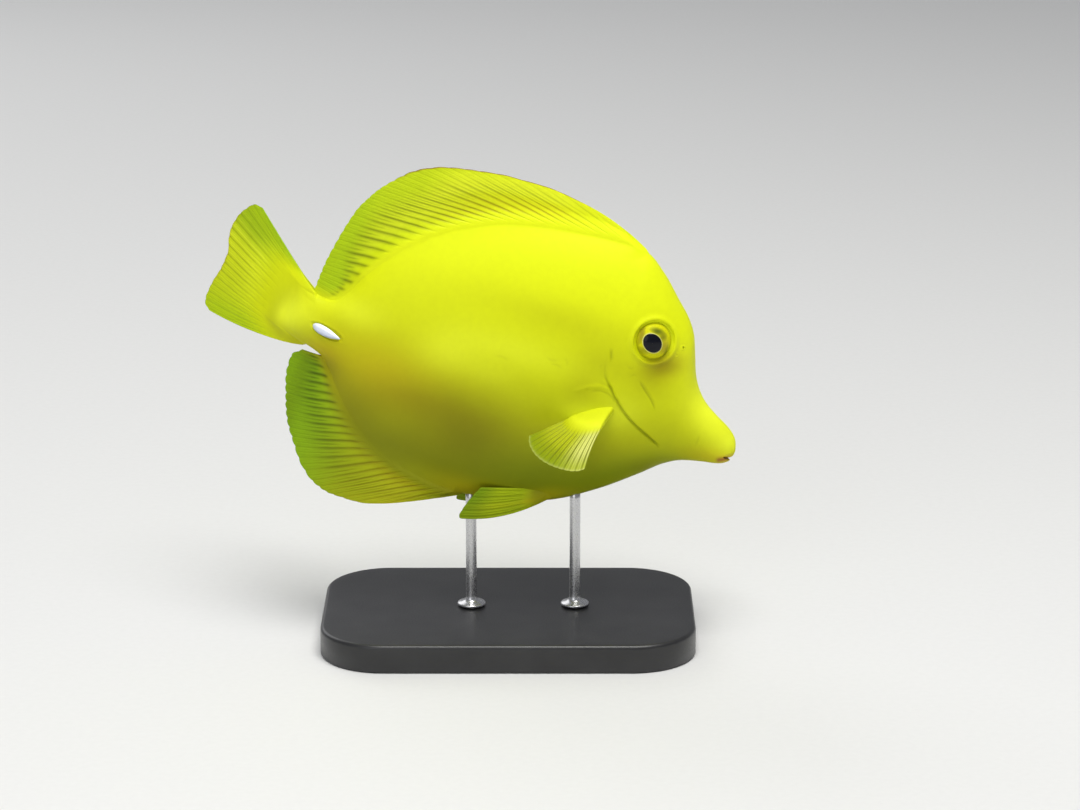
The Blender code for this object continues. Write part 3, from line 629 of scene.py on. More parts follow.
def skin(material):
    """The whole body's skin: head with mouth, gill covers and orbits, torso and tail stalk."""
    grid, depth = skin_grid()
    normal = grid_normals(grid, wrap=True)
    if normal[len(grid) // 2, 0, 1] < 0:
        normal = -normal
    s, h = grid[..., 0], grid[..., 2]
    rise, crease_shade = relief(s, h)
    lips = 0.85 * bell(line_distance(s, h, MOUTH_SLIT), 0.8) * (depth == 0) * (s < 6)
    # Painted shade in the gill groove, stronger low on the head, and in the creases of the folds
    low = 1 - 0.6 * ease((h - 2) / 14)
    dark = 0.5 * low * gill_cover(s, h)[1] / GILL_GROOVE[0] * (s < FINE_UNTIL) + crease_shade
    fields = skin_fields(grid, mouth=np.clip(depth * 1.6 + lips, 0, 1), dark=np.clip(dark, 0, 1))
    pieces = [(pressed(grid, normal, rise), closed(grid, 5.0), fields)]
    for _, outward in SIDES:
        pieces.append(patch(outward, eye_frame(outward)[0], ORBIT_RING, 160, ORBIT_SHADE))
        for at, up, radius in NOSTRILS:
            place = on_side(at, up, outward)
            pieces.append(patch(outward, place, nostril_section(radius), 40, NOSTRIL_SHADE))
    points, quads, fields = join_grids(pieces)
    return make_mesh("tang_skin", world(points), quads, fields, [material])


# Dorsal and anal fin: where they leave the body, their margin, and the fan, which gives how far along the
# margin a ray ends by how far along the base it starts. lift is the lowest height their colour is read at.
DORSAL = {
    "line": BACK_LINE, "side": 1, "rays": 29, "base": (39.5, 122.5), "lift": 0,
    "fan": [
        (0, 0), (0.05, 0.23), (0.11, 0.37), (0.22, 0.485), (0.32, 0.59), (0.59, 0.758), (0.705, 0.834),
        (0.825, 0.913), (1, 1),
    ],
    "margin": [
        (40.8, 48.3), (46, 50.9), (54, 53.9), (62, 55.7), (72, 57), (82, 56.9), (91, 55.9), (100, 54.2),
        (107.3, 50.9), (113.9, 44.8), (119.3, 39.8), (124, 34.2), (126.4, 25.4), (127.2, 16.8), (126.6, 7.0),
    ],
}
ANAL = {
    "line": BELLY_LINE, "side": -1, "rays": 23, "base": (69.0, 117.5), "lift": -14,
    "fan": [
        (0, 0), (0.06, 0.22), (0.122, 0.36), (0.346, 0.523), (0.458, 0.63), (0.61, 0.735), (0.814, 0.862),
        (1, 1),
    ],
    "margin": [
        (70.4, -34.4), (76, -37.1), (83, -40.2), (90, -42.9), (97, -44.4), (104, -44.3), (110, -42.6),
        (114.5, -38.9), (117.6, -33.9), (120.6, -28.4), (122.9, -22), (124.8, -15.8), (125.2, -11.6),
        (123, -8.3),
    ],
}
# Tail fin: its rays start towards the hub, inside the stalk, and its lowest ray bows down
CAUDAL_RAYS = 17
CAUDAL_ROOTS = [(123.0, -6.9), (131.0, -6.3), (131.5, -5.8), (131.5, 7.4), (131.0, 7.9), (125.5, 8.1)]
CAUDAL_MARGIN = [
    (154.9, -17.6), (157.2, -16.9), (158.3, -14.5), (158.5, -10.5), (158, -5), (158.4, 0), (160.3, 3.5),
    (161.2, 7), (160.9, 10.5), (159.4, 14.2), (157.4, 16.8), (154.6, 17.5),
]
CAUDAL_HUB = np.array([116.0, 0.4])
CAUDAL_BOW = (1.1, 4)
CAUDAL_SUNK = 0.15
CAUDAL_FOOT = 0.95
STALK_FADE = 10
# Paired fins: their roots on the flank, the reach of the first and last ray, how much longer the middle rays
# are, how deep the roots sink in, how the first ray bows, and the fleshy foot (share of the length, half
# thickness). Then how much of each tint they take, and how many millimetres higher their colour is read.
PECTORAL = {
    "rays": 14, "roots": ((35.9, 5.6), (42.6, 2.6)), "lead": (5.8, 24.8, -12.3), "trail": (12.8, 5.6, -9.2),
    "bulge": 2.7, "sink": 2.5, "bow": (1.2, 1.0, 0.6), "foot": (0.42, 1.15),
    "dark": 1.0, "pale": 0.8, "green": 0.1, "bright": 0.72, "gold": 0.0, "deep": 0.7, "lift": 0.0,
}
PELVIC = {
    "rays": 6, "roots": ((44.6, -26.2), (48.2, -24.4)), "lead": (23.5, 5.5, -12.3),
    "trail": (16.0, 3.0, -3.6), "bulge": 0.6, "sink": 1.0, "bow": (-0.6, 0.6, -2.0), "foot": (0.25, 0.5),
    "dark": 0.45, "pale": 0.0, "green": 0.5, "bright": 0.0, "gold": 0.5, "deep": 0.85, "lift": 21.0,
}
LEFT_PELVIC_SHIFT = np.array([1.5, 0.0, 0.8])
# How much shorter the rays at a paired fin's leading corner are, and over what share of the fin
LEAD_TUCK = (1.6, 0.2)
# Thickness at the foot and the margin, and the grooves' depth there
MEMBRANE = (0.75, 0.24)
GROOVE_DEPTH = (0.17, 0.10)
SCALLOP = 0.3
FLESH_EDGE = 0.5
EDGE_ROUND = 0.3


def ray_places(rays, per_ray):
    """Places across a fin, in rays, closer together at its two edges."""
    places = np.linspace(0, rays - 1, (rays - 1) * per_ray + 1)
    edge = np.array([0.01, 0.03, 0.06])
    return np.sort(np.concatenate([places, edge, rays - 1 - edge]))


def off_ray(places):
    """Distance of each place from its nearest ray, in rays, as a column."""
    return np.abs(places - np.round(places))[:, None]


def ray_grooves(places, out, width=0.12):
    """Depth (0 to 1) of the grooves between the rays, by column and by share of the way out.

    Outwards each ray divides in two, and again in four, with shallower grooves between its branches.
    """
    off = off_ray(places)
    first = 0.65 * ease((out - 0.3) / 0.25) * bell(off, 0.6 * width)
    second = 0.45 * ease((out - 0.62) / 0.2) * bell(off - 0.25, 0.5 * width)
    return np.maximum(bell(0.5 - off, width), np.maximum(first, second))


def rounded(grid, half):
    """Half thickness rounded off at a fin's tips and sides, and each point's distance from the tips."""
    tip = np.linalg.norm(grid - grid[:, -1:], axis=2)
    sides = [np.linalg.norm(grid - end, axis=2) for end in (grid[:1], grid[-1:])]
    for distance in (tip, np.minimum(*sides)):
        t = np.clip(distance / EDGE_ROUND, 0, 1)
        half = half * (np.sqrt(1 - (1 - t) ** 2) * 0.94 + 0.06)
    return half, tip


def plate(middle, normal, half, foot):
    """Both faces of a thin sheet with the strip round its border, and its points' fields."""
    shift = normal * half[..., None]
    columns, rows = middle.shape[:2]
    size = columns * rows
    faces = grid_quads(columns, rows)
    border = np.concatenate([
        np.arange(columns) * rows, (columns - 1) * rows + np.arange(1, rows),
        np.arange(columns - 2, -1, -1) * rows + rows - 1, np.arange(rows - 2, 0, -1),
    ])
    after = np.roll(border, -1)
    strip = np.stack([border, after, after + size, border + size], axis=1)
    quads = np.concatenate([faces[:, ::-1], faces + size, strip])
    points = np.concatenate([middle + shift, middle - shift]).reshape(-1, 3)
    foot = np.broadcast_to(foot, (columns, rows))
    fields = skin_fields(np.concatenate([middle, middle]), np.concatenate([foot, foot]))
    return points, facing(points, quads, points.mean(axis=0)), fields


def paint(fields, grid, **values):
    """Adds to the fields of a fin, on both of its faces."""
    for name, value in values.items():
        fields[name] = fields[name] + np.tile(np.broadcast_to(value, grid.shape[:2]).ravel(), 2)


def tip_shares(rows):
    """Shares of a ray's length, closer together towards the tip."""
    share = np.linspace(0, 1, rows)
    return np.sort(np.concatenate([share, [0.995, 0.99, 0.98]]))


def inwards(line, sign):
    """Unit directions from each point of an outline to its inner side."""
    slope = np.gradient(line, axis=0)
    slope /= np.linalg.norm(slope, axis=1)[:, None]
    return np.stack([slope[:, 1], -slope[:, 0]], axis=1) * sign


def outline_depth(line, sign, points):
    """How deep inside the body's outline each (s, h) point of a grid lies, less than 0 outside it."""
    far = np.linspace(30, BODY_END, 1600)
    curve = np.stack([far, smooth(line, far)], axis=1)
    flat = points.reshape(-1, 2)
    best = np.concatenate([
        ((flat[low : low + OUTLINE_BATCH, None] - curve[None]) ** 2).sum(axis=2).argmin(axis=1)
        for low in range(0, len(flat), OUTLINE_BATCH)
    ])
    depth = ((flat - curve[best]) * inwards(curve, sign)[best]).sum(axis=1)
    return depth.reshape(points.shape[:2])


def scalloped(roots, tips, places, depth):
    """The tips of a fin's rays, drawn back between the rays."""
    reach = tips - roots
    length = np.linalg.norm(reach, axis=1)[:, None]
    return tips - reach / length * depth * ease(length / 4) * (2 * off_ray(places)) ** 2


def median_fin(name, fin, colours, material):
    """The dorsal or anal fin: its foot melts into the body, and its rays fan out."""
    line, sign = fin["line"], fin["side"]
    places = ray_places(fin["rays"], 18)
    share = places / places[-1]
    base = np.linspace(*fin["base"], 34)
    roots = along(np.stack([base, smooth(line, base)], axis=1), share)
    tips = scalloped(roots, along(fin["margin"], smooth(fin["fan"], share)), places, SCALLOP)
    beyond = np.clip(-outline_depth(line, sign, tips[:, None]), 0.3, None)
    outer = 0.5 * np.minimum(beyond, 10)
    inner = 0.38 * np.minimum(beyond, 11) + 0.4
    sunk = (inner + 1.6) * np.linspace(1, 0, 20)[:-1]
    inside = roots[:, None] + inwards(roots, sign)[:, None] * sunk[..., None]
    outside = roots[:, None] + (tips - roots)[:, None] * tip_shares(78)[:, None]
    grid = np.concatenate([inside, outside], axis=1)
    s, h = grid[..., 0], grid[..., 1]
    depth = outline_depth(line, sign, grid)
    past = np.clip(-depth / beyond, 0, 1)
    body = flank(s, h, swell=0)
    swell = 1.5 * np.clip(beyond / 9, 0.1, 1) * (1 - ease(-depth / outer))
    merged = soft_max(body, blend(MEMBRANE, past**0.8) / 2 + swell)
    half = body + (merged - body) * (1 - ease((depth - 0.3) / (inner - 0.3)))
    half -= 0.35 * ease((depth - inner) / 2)
    shown = ease((-depth - FLESH_EDGE) / 1.6)
    half += blend(GROOVE_DEPTH, past) * (0.5 - ray_grooves(places, past)) * shown
    half, tip = rounded(grid, half)
    onto = ease((0.5 - depth) / 4.5)
    points, quads, fields = plate(np.insert(grid, 1, 0.0, axis=2), SIDEWAYS, half, 1 - onto)
    marks = ray_grooves(places, past, 0.2) * gap_strength(places)
    for field, values in colours(s, past, marks, tip).items():
        paint(fields, grid, **{field: values * (shown if field == "dark" else onto)})
    paint(fields, grid, high=np.clip(fin["lift"] - h, 0, None) * onto)
    return make_mesh(name, world(points), quads, fields, [material])


def gap_strength(places):
    """How dark each gap between two rays is: some less than others."""
    return (0.88 + 0.12 * np.sin(2.4 * np.floor(places) + 0.6))[:, None]


def window(past, start, stop):
    """1 between two shares of the way out, fading on both sides."""
    return ease((past - start) / 0.14) * (1 - ease((past - stop) / 0.35))


def dorsal_colours(s, past, marks, tip):
    """Yellow in front, greener behind; dark lines between the rays, faint towards the margin behind; patches
    of painted light, low on the rear part and high on the middle.
    """
    rear = ease((s - 62) / 55)
    middle = ease((s - 58) / 12) * (1 - ease((s - 92) / 14))
    return {
        "fin": rear * (0.3 * ease(past / 0.15) + 0.3 * ease(past / 0.8)) + 0.2 * ease((s - 112) / 10),
        "dark": marks * window(past, 0.06, 0.6 - 0.12 * rear) * ease((s - 44) / 30) * (0.45 + 0.35 * rear),
        "gold": middle * (0.25 + 0.75 * marks) * window(past, 0.1, 0.3) * 0.8,
        "bright": (
            0.4 * bell(s - 103, 12) * window(past, 0.2, 0.45) + 0.6 * middle * window(past, 0.45, 0.75)
        ),
        "edge": bell(tip, 0.45) * ease((s - 56) / 10) * (1 - ease((s - 106) / 8)),
    }


def anal_colours(s, past, marks, tip):
    """Golden olive in front and greener behind, with dark lines between the rays, greenish painted shade
    growing outwards and to the rear, brownish painted shade at its rear end and a little painted light in
    the middle.
    """
    rear = ease((s - 98) / 22)
    return {
        "fin": (0.25 + 0.72 * rear) * ease((past + 0.05) / 0.45),
        "dark": marks * window(past, 0.08, 0.55) * (0.45 + 0.5 * rear),
        "gold": (1 - rear) * marks * ease(past / 0.15) * 0.6,
        "warm": 0.5 * bell(s - 86, 9) * ease(past / 0.2),
        "bright": 0.12 * bell(s - 90, 10) * ease((past - 0.05) / 0.35),
        "deep": (0.12 + 0.5 * rear) * ease((past - 0.1) / 0.5),
        "shade": 0.4 * bell(s - 121, 2.5),
    }


def caudal_fin(material):
    """The tail fin, whose foot melts into the end of the stalk."""
    places = ray_places(CAUDAL_RAYS, 18)
    share = places[:, None] / places[-1]
    roots = part_way(CAUDAL_ROOTS, share[:, 0])
    tips = scalloped(roots, along(CAUDAL_MARGIN, share[:, 0]), places, 0.5 * SCALLOP)
    sunk = np.linspace(1, 0, 28)[:-1]
    out = tip_shares(86)
    inside = roots[:, None] + 0.42 * (CAUDAL_HUB - roots)[:, None] * sunk[:, None]
    outside = roots[:, None] + (tips - roots)[:, None] * out[:, None]
    sag, fade = CAUDAL_BOW
    outside[..., 1] -= sag * (1 - share) ** fade * 4 * out * (1 - out)
    grid = np.concatenate([inside, outside], axis=1)
    s, h = grid[..., 0], grid[..., 1]
    past = np.concatenate([0 * sunk, out])
    body = flank(s, h, swell=0) * (1 - ease((s - BODY_END) / STALK_FADE))
    thin = blend((CAUDAL_FOOT, MEMBRANE[1]), past**0.55) / 2 + 0.75 * (1 - ease(past / 0.3))
    buried = np.concatenate([sunk, 0 * out])
    skin_depth = body - CAUDAL_SUNK
    half = skin_depth + (soft_max(body, thin) - skin_depth) * ease((1 - buried) / 0.8)
    groove = ray_grooves(places, past)
    half = np.maximum(half, 0.05) + (1 - 2 * groove) * ease((past - 0.15) / 0.35) * 0.06
    half, tip = rounded(grid, half)
    foot = 1 - ease(past / 0.3)
    points, quads, fields = plate(np.insert(grid, 1, 0.0, axis=2), SIDEWAYS, half, foot)
    inner_rays = np.sin(math.pi * share) ** 1.5
    lit = bell(share - 0.66, 0.16) * gap_strength(places + 0.5) ** 2
    lobes = np.clip(2 * share - 1, -0.8, 1) ** 2
    # Greenish painted shade on the upper lobe, outwards, and painted light along some rays of the upper
    # middle and over the inner rays
    paint(
        fields, grid,
        fin=ease((past - 0.2 + 0.15 * lobes) / 0.5) * (0.25 + 0.75 * lobes),
        deep=0.6 * bell(share - 0.8, 0.13) * ease((past - 0.25) / 0.5),
        dark=groove * ease((past - 0.45) / 0.3) * inner_rays * 0.5,
        bright=(0.7 * lit * bell(off_ray(places), 0.2) + 0.25 * inner_rays) * ease((past - 0.3) / 0.3),
        edge=0.4 * bell(tip, 0.5) * inner_rays,
        high=(np.maximum(h, -2) + 14 - h) * (1 - foot),
    )
    return make_mesh("caudal_fin_skin", world(points), quads, fields, [material])


def paired_grid(side, fin, out):
    """Middle surface of a pectoral or pelvic fin, from inside the body to its tips."""
    places = ray_places(fin["rays"], 16)
    share = places[:, None] / places[-1]
    sink = fin["sink"]
    base = blend([np.array([s, float(flank(s, h, swell=0)) - sink, h]) for s, h in fin["roots"]], share)
    ends = np.array([fin["lead"], fin["trail"]])
    reach = blend(ends, share)
    length = blend(np.linalg.norm(ends, axis=1), share) + fin["bulge"] * 4 * share * (1 - share)
    tuck, until = LEAD_TUCK
    length -= tuck * (1 - np.sqrt(1 - (1 - np.clip(share / until, 0, 1)) ** 2))
    length += sink - 0.5 * SCALLOP * (2 * off_ray(places)) ** 2
    reach *= length / np.linalg.norm(reach, axis=1)[:, None]
    bow = np.array(fin["bow"]) * (1 - share)
    arc = 4 * out * (1 - out)
    grid = base[:, None] + reach[:, None] * out[:, None] + bow[:, None] * arc[:, None]
    return places, grid * np.array([1.0, side, 1.0])


def paired_fin(name, side, fin, material):
    """A pectoral or pelvic fin: a fleshy foot, then rays with membrane between."""
    out = tip_shares(90)
    places, grid = paired_grid(side, fin, out)
    across = (places / places[-1])[:, None]
    until, flesh = fin["foot"]
    edge = until * (1 - 0.1 * across) + 0.05 * np.sin(math.pi * across)
    fleshy = 1 - ease((out - edge + 0.1) / 0.2)
    shown = ease((out - edge + 0.02) / 0.12)
    full = np.sqrt(np.clip(1 - (2 * across - 1) ** 2, 0, 1))
    half = blend(MEMBRANE, out**0.5) / 2 * (0.75 + 0.25 * full) + flesh * fleshy * full**0.8
    half += (1 - 2 * ray_grooves(places, out, 0.17)) * shown * (0.11 - 0.04 * out)
    half, tip = rounded(grid, half)
    foot = 1 - ease((out - 0.08) / 0.25)
    points, quads, fields = plate(grid, grid_normals(grid, wrap=False), half, foot)
    ahead = 1 - ease((across - 0.1) / 0.35)
    gaps = ray_grooves(places, out, 0.24) * gap_strength(places)
    rays = (1 - gaps) * shown
    near_tip = ease((out - 0.7) / 0.3)
    # The two glows are painted light on the fleshy lobe and along the front rays; the tint near the tips is
    # greenish painted shade
    lobe_glow = fleshy * (1 - 0.35 * across) * ease((out - 0.12) / 0.28)
    ray_glow = 0.6 * rays * (1 - across) ** 0.7 * (1 - 0.6 * near_tip * (1 - ahead))
    paint(
        fields, grid,
        bright=fin["bright"] * (lobe_glow + ray_glow),
        fin=fin["green"] * (1 - fleshy),
        warm=fin["gold"] * bell(across - 0.35 - 0.1 * out, 0.12) * (1 - foot),
        deep=fin["deep"] * ease((out - 0.6) / 0.4) * (1 - foot) * (1 - 0.4 * ahead),
        high=fin["lift"] * (1 - foot),
        dark=fin["dark"] * gaps * shown * (1 - 0.6 * ease((out - 0.8) / 0.2)) * (1 - 0.5 * across),
        pale=fin["pale"] * (rays * ahead * (1 - 0.8 * near_tip) + 0.25 * bell(tip, 0.5)),
    )
    return make_mesh(name, world(points), quads, fields, [material])


def fins(material):
    made = [
        (median_fin("dorsal_fin_skin", DORSAL, dorsal_colours, material), "dorsal_fin"),
        (median_fin("anal_fin_skin", ANAL, anal_colours, material), "anal_fin"),
        (caudal_fin(material), "caudal_fin"),
    ]
    for word, side in SIDES:
        pelvic = {**PELVIC, "lead": PELVIC["lead"] + LEFT_PELVIC_SHIFT * (side > 0)}
        for kind, fin in (("pectoral", PECTORAL), ("pelvic", pelvic)):
            name = f"{kind}_fin_{word}"
            made.append((paired_fin(name + "_skin", side, fin, material), name))
    return made


def eyeball(word, outward, material):
    """The globe of the eye, with a low dome."""
    centre, axis, ahead, upward = eye_frame(outward)
    radius, dome, level = EYE_GLOBE
    quarter = math.pi / 2
    front = [(radius * math.sin(t), level + dome * math.cos(t)) for t in np.linspace(0.003, quarter, 60)]
    back = [(radius * math.cos(t), level - 1.6 * math.sin(t)) for t in np.linspace(0, quarter - 0.003, 16)]
    rim, height = np.array(front + back[1:]).T[..., None, None]
    across = rim * spokes(128, ahead, upward)
    grid = centre + across + height * axis
    fields = {"ahead": (across @ ahead).ravel(), "up": (across @ upward).ravel()}
    return make_mesh("eyeball_" + word, world(grid), tube(grid, centre - axis), fields, [material])


def pupil(word, outward, material, ring_material):
    """The pupil's lens, a low oval dome, with the thin pale ring round it."""
    centre, axis, ahead, upward = eye_frame(outward)
    angle = around(96)
    lean = math.radians(PUPIL_LEAN)
    shape = 1 + PUPIL_OVAL * np.cos(2 * (angle - lean)) + 0.012 * np.cos(4 * (angle - lean))
    share, rise = np.array(PUPIL_LENS + PUPIL_RING).T[..., None]
    radius = PUPIL_RADIUS * share * shape
    x = PUPIL_OFF[0] + radius * np.cos(angle)
    z = PUPIL_OFF[1] + radius * np.sin(angle)
    globe, dome, level = EYE_GLOBE
    surface = level + dome * np.sqrt(np.clip(1 - (x**2 + z**2) / globe**2, 0, 1))
    grid = centre + x[..., None] * ahead + z[..., None] * upward + (surface + rise)[..., None] * axis
    quads = tube(grid, centre - 9 * axis)
    kind = (np.arange(len(quads)) >= (len(PUPIL_LENS) - 1) * len(angle)).astype(int)
    return make_mesh("pupil_" + word, world(grid), quads, None, [material, ring_material], kind)


def tail_spine(word, outward, material):
    """The folded blade: blunt at its hinge behind, pointed in front, with a low keel along its side."""
    s, h = SPINE_AT
    t = -np.cos(np.linspace(0.03, math.pi - 0.03, 70))[:, None]
    angle = around(48)
    taper = np.sqrt(1 - t * t) * (1 + SPINE_HINGE_SWELL * t) * (1 - 0.25 * ease((-t - 0.2) / 0.8))
    reach = t * SPINE_LENGTH / 2
    level = h + reach * math.tan(math.radians(SPINE_DROOP))
    out = flank(s + reach, level, swell=0) + SPINE_PROUD
    keel = 1 + 0.16 * bell(np.angle(np.exp(1j * (angle - 0.25))), 0.35) - 0.05 * np.cos(6 * angle)
    grid = np.stack(np.broadcast_arrays(
        s + reach,
        outward * (out + SPINE_THICKNESS / 2 * taper * np.cos(angle) * keel),
        level + SPINE_DEPTH / 2 * taper * np.sin(angle) * keel,
    ), axis=2)
    fields = {"far": np.repeat(t[:, 0], len(angle)), "high": np.tile(np.sin(angle), len(t))}
    return make_mesh("tail_spine_blade_" + word, world(grid), closed(grid, 1.0), fields, [material])


# Stand, with the base's size and corners and the rods' radius and places as in the solids
BASE_SIZE = (104.0, 68.0, 8.0)
BASE_CORNER = 18.0
BASE_EDGE = 1.1
GAP = 0.3
ROD_RADIUS = 1.5
ROD_FOOT = [
    (0.2, 0.0), (3.7, 0.0), (3.95, 0.25), (3.95, 0.6), (3.7, 0.85), (2.5, 1.1), (1.9, 1.5), (1.58, 2.1),
    (1.5, 2.8),
]
ROD_AT = {"stand_rod_front": 18.6, "stand_rod_rear": -10.4}
ROD_SINK = 1.2


def turned(name, profile, material, x=0.0, segments=64):
    """A round piece turned about the upright line at x, from (radius, height) pairs in millimetres."""
    angle = around(segments)
    radius, height = np.array(profile, float).T[..., None]
    places = np.broadcast_arrays(x + radius * np.cos(angle), radius * np.sin(angle), height)
    quads = grid_quads(len(profile), segments, wrap=True)
    return make_mesh(name, np.stack(places, axis=2).reshape(-1, 3) * MM, quads, None, [material])


def base_plate(material):
    """The base: a flat plate with round corners, its upper edge rounded over."""
    length, depth, height = BASE_SIZE
    turn = np.linspace(0, math.pi / 2, 24)
    loop = [
        (cx * (length / 2 - BASE_CORNER), cy * (depth / 2 - BASE_CORNER), math.cos(t), math.sin(t))
        for corner, (cx, cy) in enumerate(((1, 1), (-1, 1), (-1, -1), (1, -1)))
        for t in turn + corner * math.pi / 2
    ]
    x, y, out_x, out_y = np.array(loop).T
    rows = [(-BASE_CORNER, 0.0), (-0.4, 0.0), (0.0, 0.4), (0.0, height - BASE_EDGE)]
    rows += [
        (BASE_EDGE * (math.cos(t) - 1), height + BASE_EDGE * (math.sin(t) - 1))
        for t in np.linspace(0, math.pi / 2, 10)[1:]
    ]
    rows += [(-3.0, height), (-BASE_CORNER, height)]
    inset, level = np.array(rows).T[..., None]
    reach = BASE_CORNER + inset
    grid = np.stack(np.broadcast_arrays(x + reach * out_x, y + reach * out_y, level), axis=2)
    corners = np.arange(4) * len(turn)
    top = corners + (len(rows) - 1) * len(x)
    quads = np.concatenate([grid_quads(len(rows), len(x), wrap=True), [corners[::-1], top]])
    return make_mesh("base_plate", grid.reshape(-1, 3) * MM, quads, None, [material])


def rod(name, x, material):
    """A turned rod with a small foot, its top just inside the belly."""
    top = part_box(name)[1].z / MM + ROD_SINK
    bottom = BASE_SIZE[2] + GAP
    profile = [(radius, bottom + height) for radius, height in ROD_FOOT]
    profile += [(ROD_RADIUS, z) for z in np.linspace(profile[-1][1] + 2, top, 12)] + [(0.2, top)]
    return turned(name + "_steel", profile, material, x)


class Shader:
    """Short names for building one material's nodes."""

    def __init__(self, name, **values):
        self.material = bpy.data.materials.new(name)
        self.material.use_nodes = True
        self.nodes = self.material.node_tree.nodes
        self.links = self.material.node_tree.links
        self.surface = self.nodes["Principled BSDF"]
        for socket, value in values.items():
            self.surface.inputs[socket.replace("_", " ")].default_value = value
        self.place = self.nodes.new("ShaderNodeTexCoord").outputs["Object"]

    def put(self, socket, value):
        """Links an output to an input, or sets the input's value."""
        if isinstance(value, bpy.types.NodeSocket):
            self.links.new(value, socket)
        elif socket.type == "RGBA":
            socket.default_value = (*value, 1.0)
        else:
            socket.default_value = value

    def field(self, name):
        node = self.nodes.new("ShaderNodeAttribute")
        node.attribute_name = name
        return node.outputs["Fac"]

    def math(self, operation, a, b=0.0, clamp=False):
        node = self.nodes.new("ShaderNodeMath")
        node.operation = operation
        node.use_clamp = clamp
        self.put(node.inputs[0], a)
        self.put(node.inputs[1], b)
        return node.outputs[0]

    def span(self, value, low, high, to_low=0.0, to_high=1.0):
        node = self.nodes.new("ShaderNodeMapRange")
        for socket, number in zip(node.inputs, (value, low, high, to_low, to_high)):
            self.put(socket, number)
        return node.outputs["Result"]

    def spread(self, noise, low=0.0, high=1.0):
        """A noise's middle range, spread from low to high."""
        return self.span(noise, 0.3, 0.7, low, high)

    def squares(self, a, b):
        """The sum of the squares of two numbers."""
        return self.math("ADD", self.math("MULTIPLY", a, a), self.math("MULTIPLY", b, b))

    def layers(self, colour, rows):
        """The colour with each row's tint over it, as strong as the row's field."""
        for field, tint, kind in rows:
            colour = self.mix(self.field(field), colour, tint, kind)
        return colour

    def mix(self, share, a, b, kind="MIX"):
        node = self.nodes.new("ShaderNodeMix")
        node.data_type = "RGBA"
        node.blend_type = kind
        for name, value in (("Factor", share), ("A", a), ("B", b)):
            wanted = "VALUE" if name == "Factor" else "RGBA"
            self.put(next(s for s in node.inputs if s.name == name and s.type == wanted), value)
        return next(s for s in node.outputs if s.type == "RGBA")

    def ramp(self, value, stops):
        node = self.nodes.new("ShaderNodeValToRGB")
        stops = sorted(stops)
        while len(node.color_ramp.elements) < len(stops):
            node.color_ramp.elements.new(1.0)
        for element, (at, colour) in zip(node.color_ramp.elements, stops):
            element.position = at
            element.color = (*colour, 1.0)
        self.put(node.inputs["Fac"], value)
        return node.outputs["Color"]

    def noise(self, size, detail=2.0):
        """Noise of about this size in millimetres."""
        node = self.nodes.new("ShaderNodeTexNoise")
        node.inputs["Scale"].default_value = 1 / (size * MM)
        node.inputs["Detail"].default_value = detail
        self.links.new(self.place, node.inputs["Vector"])
        return node.outputs["Fac"]

    def cells(self, size):
        """Small rounded cells of about this size in millimetres."""
        node = self.nodes.new("ShaderNodeTexVoronoi")
        node.feature = "SMOOTH_F1"
        node.inputs["Scale"].default_value = 1 / (size * MM)
        self.links.new(self.place, node.inputs["Vector"])
        return node.outputs["Distance"]

    def bump(self, height, strength, distance, under=None):
        node = self.nodes.new("ShaderNodeBump")
        node.inputs["Strength"].default_value = strength
        node.inputs["Distance"].default_value = distance * MM
        self.put(node.inputs["Height"], height)
        if under is not None:
            self.links.new(under, node.inputs["Normal"])
        return node.outputs["Normal"]

    def finish(self, colour=None, roughness=None, normal=None):
        for name, value in (("Base Color", colour), ("Roughness", roughness), ("Normal", normal)):
            if value is not None:
                self.put(self.surface.inputs[name], value)
        return self.material


# Skin colours, in linear light, by height above the axis in millimetres; darker below is painted shade
SKIN_RANGE = (-45.0, 58.0)
SKIN_BY_HEIGHT = [
    (-45, (0.18, 0.19, 0.003)), (-25, (0.26, 0.28, 0.003)), (-8, (0.42, 0.44, 0.003)),
    (10, (0.66, 0.72, 0.004)), (30, (0.78, 0.86, 0.006)), (55, (0.84, 0.93, 0.010)),
]
# Tints over it by field: a golden tint, which also browns some painted shade, the fins' green, the rays'
# gold, then painted light, then brownish and greenish painted shade. Then, over the mottle, the rays' lines
# with painted shade in creases, grooves and pits, the margins and the mouth
SKIN_TINTS = [
    ("warm", (0.62, 0.50, 0.006), "MIX"),
    ("fin", (0.36, 0.55, 0.006), "MIX"),
    ("gold", (0.92, 0.70, 0.6), "MULTIPLY"),
    ("bright", (0.90, 0.98, 0.030), "MIX"),
    ("shade", (0.52, 0.46, 0.5), "MULTIPLY"),
    ("deep", (0.42, 0.58, 0.6), "MULTIPLY"),
]
SKIN_MARKS = [
    ("dark", (0.28, 0.28, 0.20), "MULTIPLY"),
    ("pale", (0.88, 0.88, 0.34), "MIX"),
    ("edge", (0.30, 0.12, 0.02), "MIX"),
    ("mouth", (0.33, 0.09, 0.03), "MIX"),
]


def skin_material():
    """Lemon yellow, with painted shade making it deeper and greener below, painted light and shade in spots,
    fine scales, and the fins' dark and pale rays.
    """
    shader = Shader("tang_skin", Specular_IOR_Level=0.14)
    low, high = SKIN_RANGE
    level = shader.math("ADD", shader.field("high"), shader.span(shader.noise(14.0), 0, 1, -3, 3))
    stops = [((at - low) / (high - low), colour) for at, colour in SKIN_BY_HEIGHT]
    colour = shader.layers(shader.ramp(shader.span(level, low, high), stops), SKIN_TINTS)
    mottle = shader.spread(shader.noise(1.6, 5.0), 0.985, 1.015)
    colour = shader.layers(shader.mix(1.0, colour, mottle, "MULTIPLY"), SKIN_MARKS)
    scales = shader.bump(shader.cells(0.55), 0.22, 0.05)
    grain = shader.bump(shader.noise(0.25, 3.0), 0.15, 0.03, scales)
    return shader.finish(colour, shader.spread(shader.noise(1.2, 3.0), 0.42, 0.54), grain)
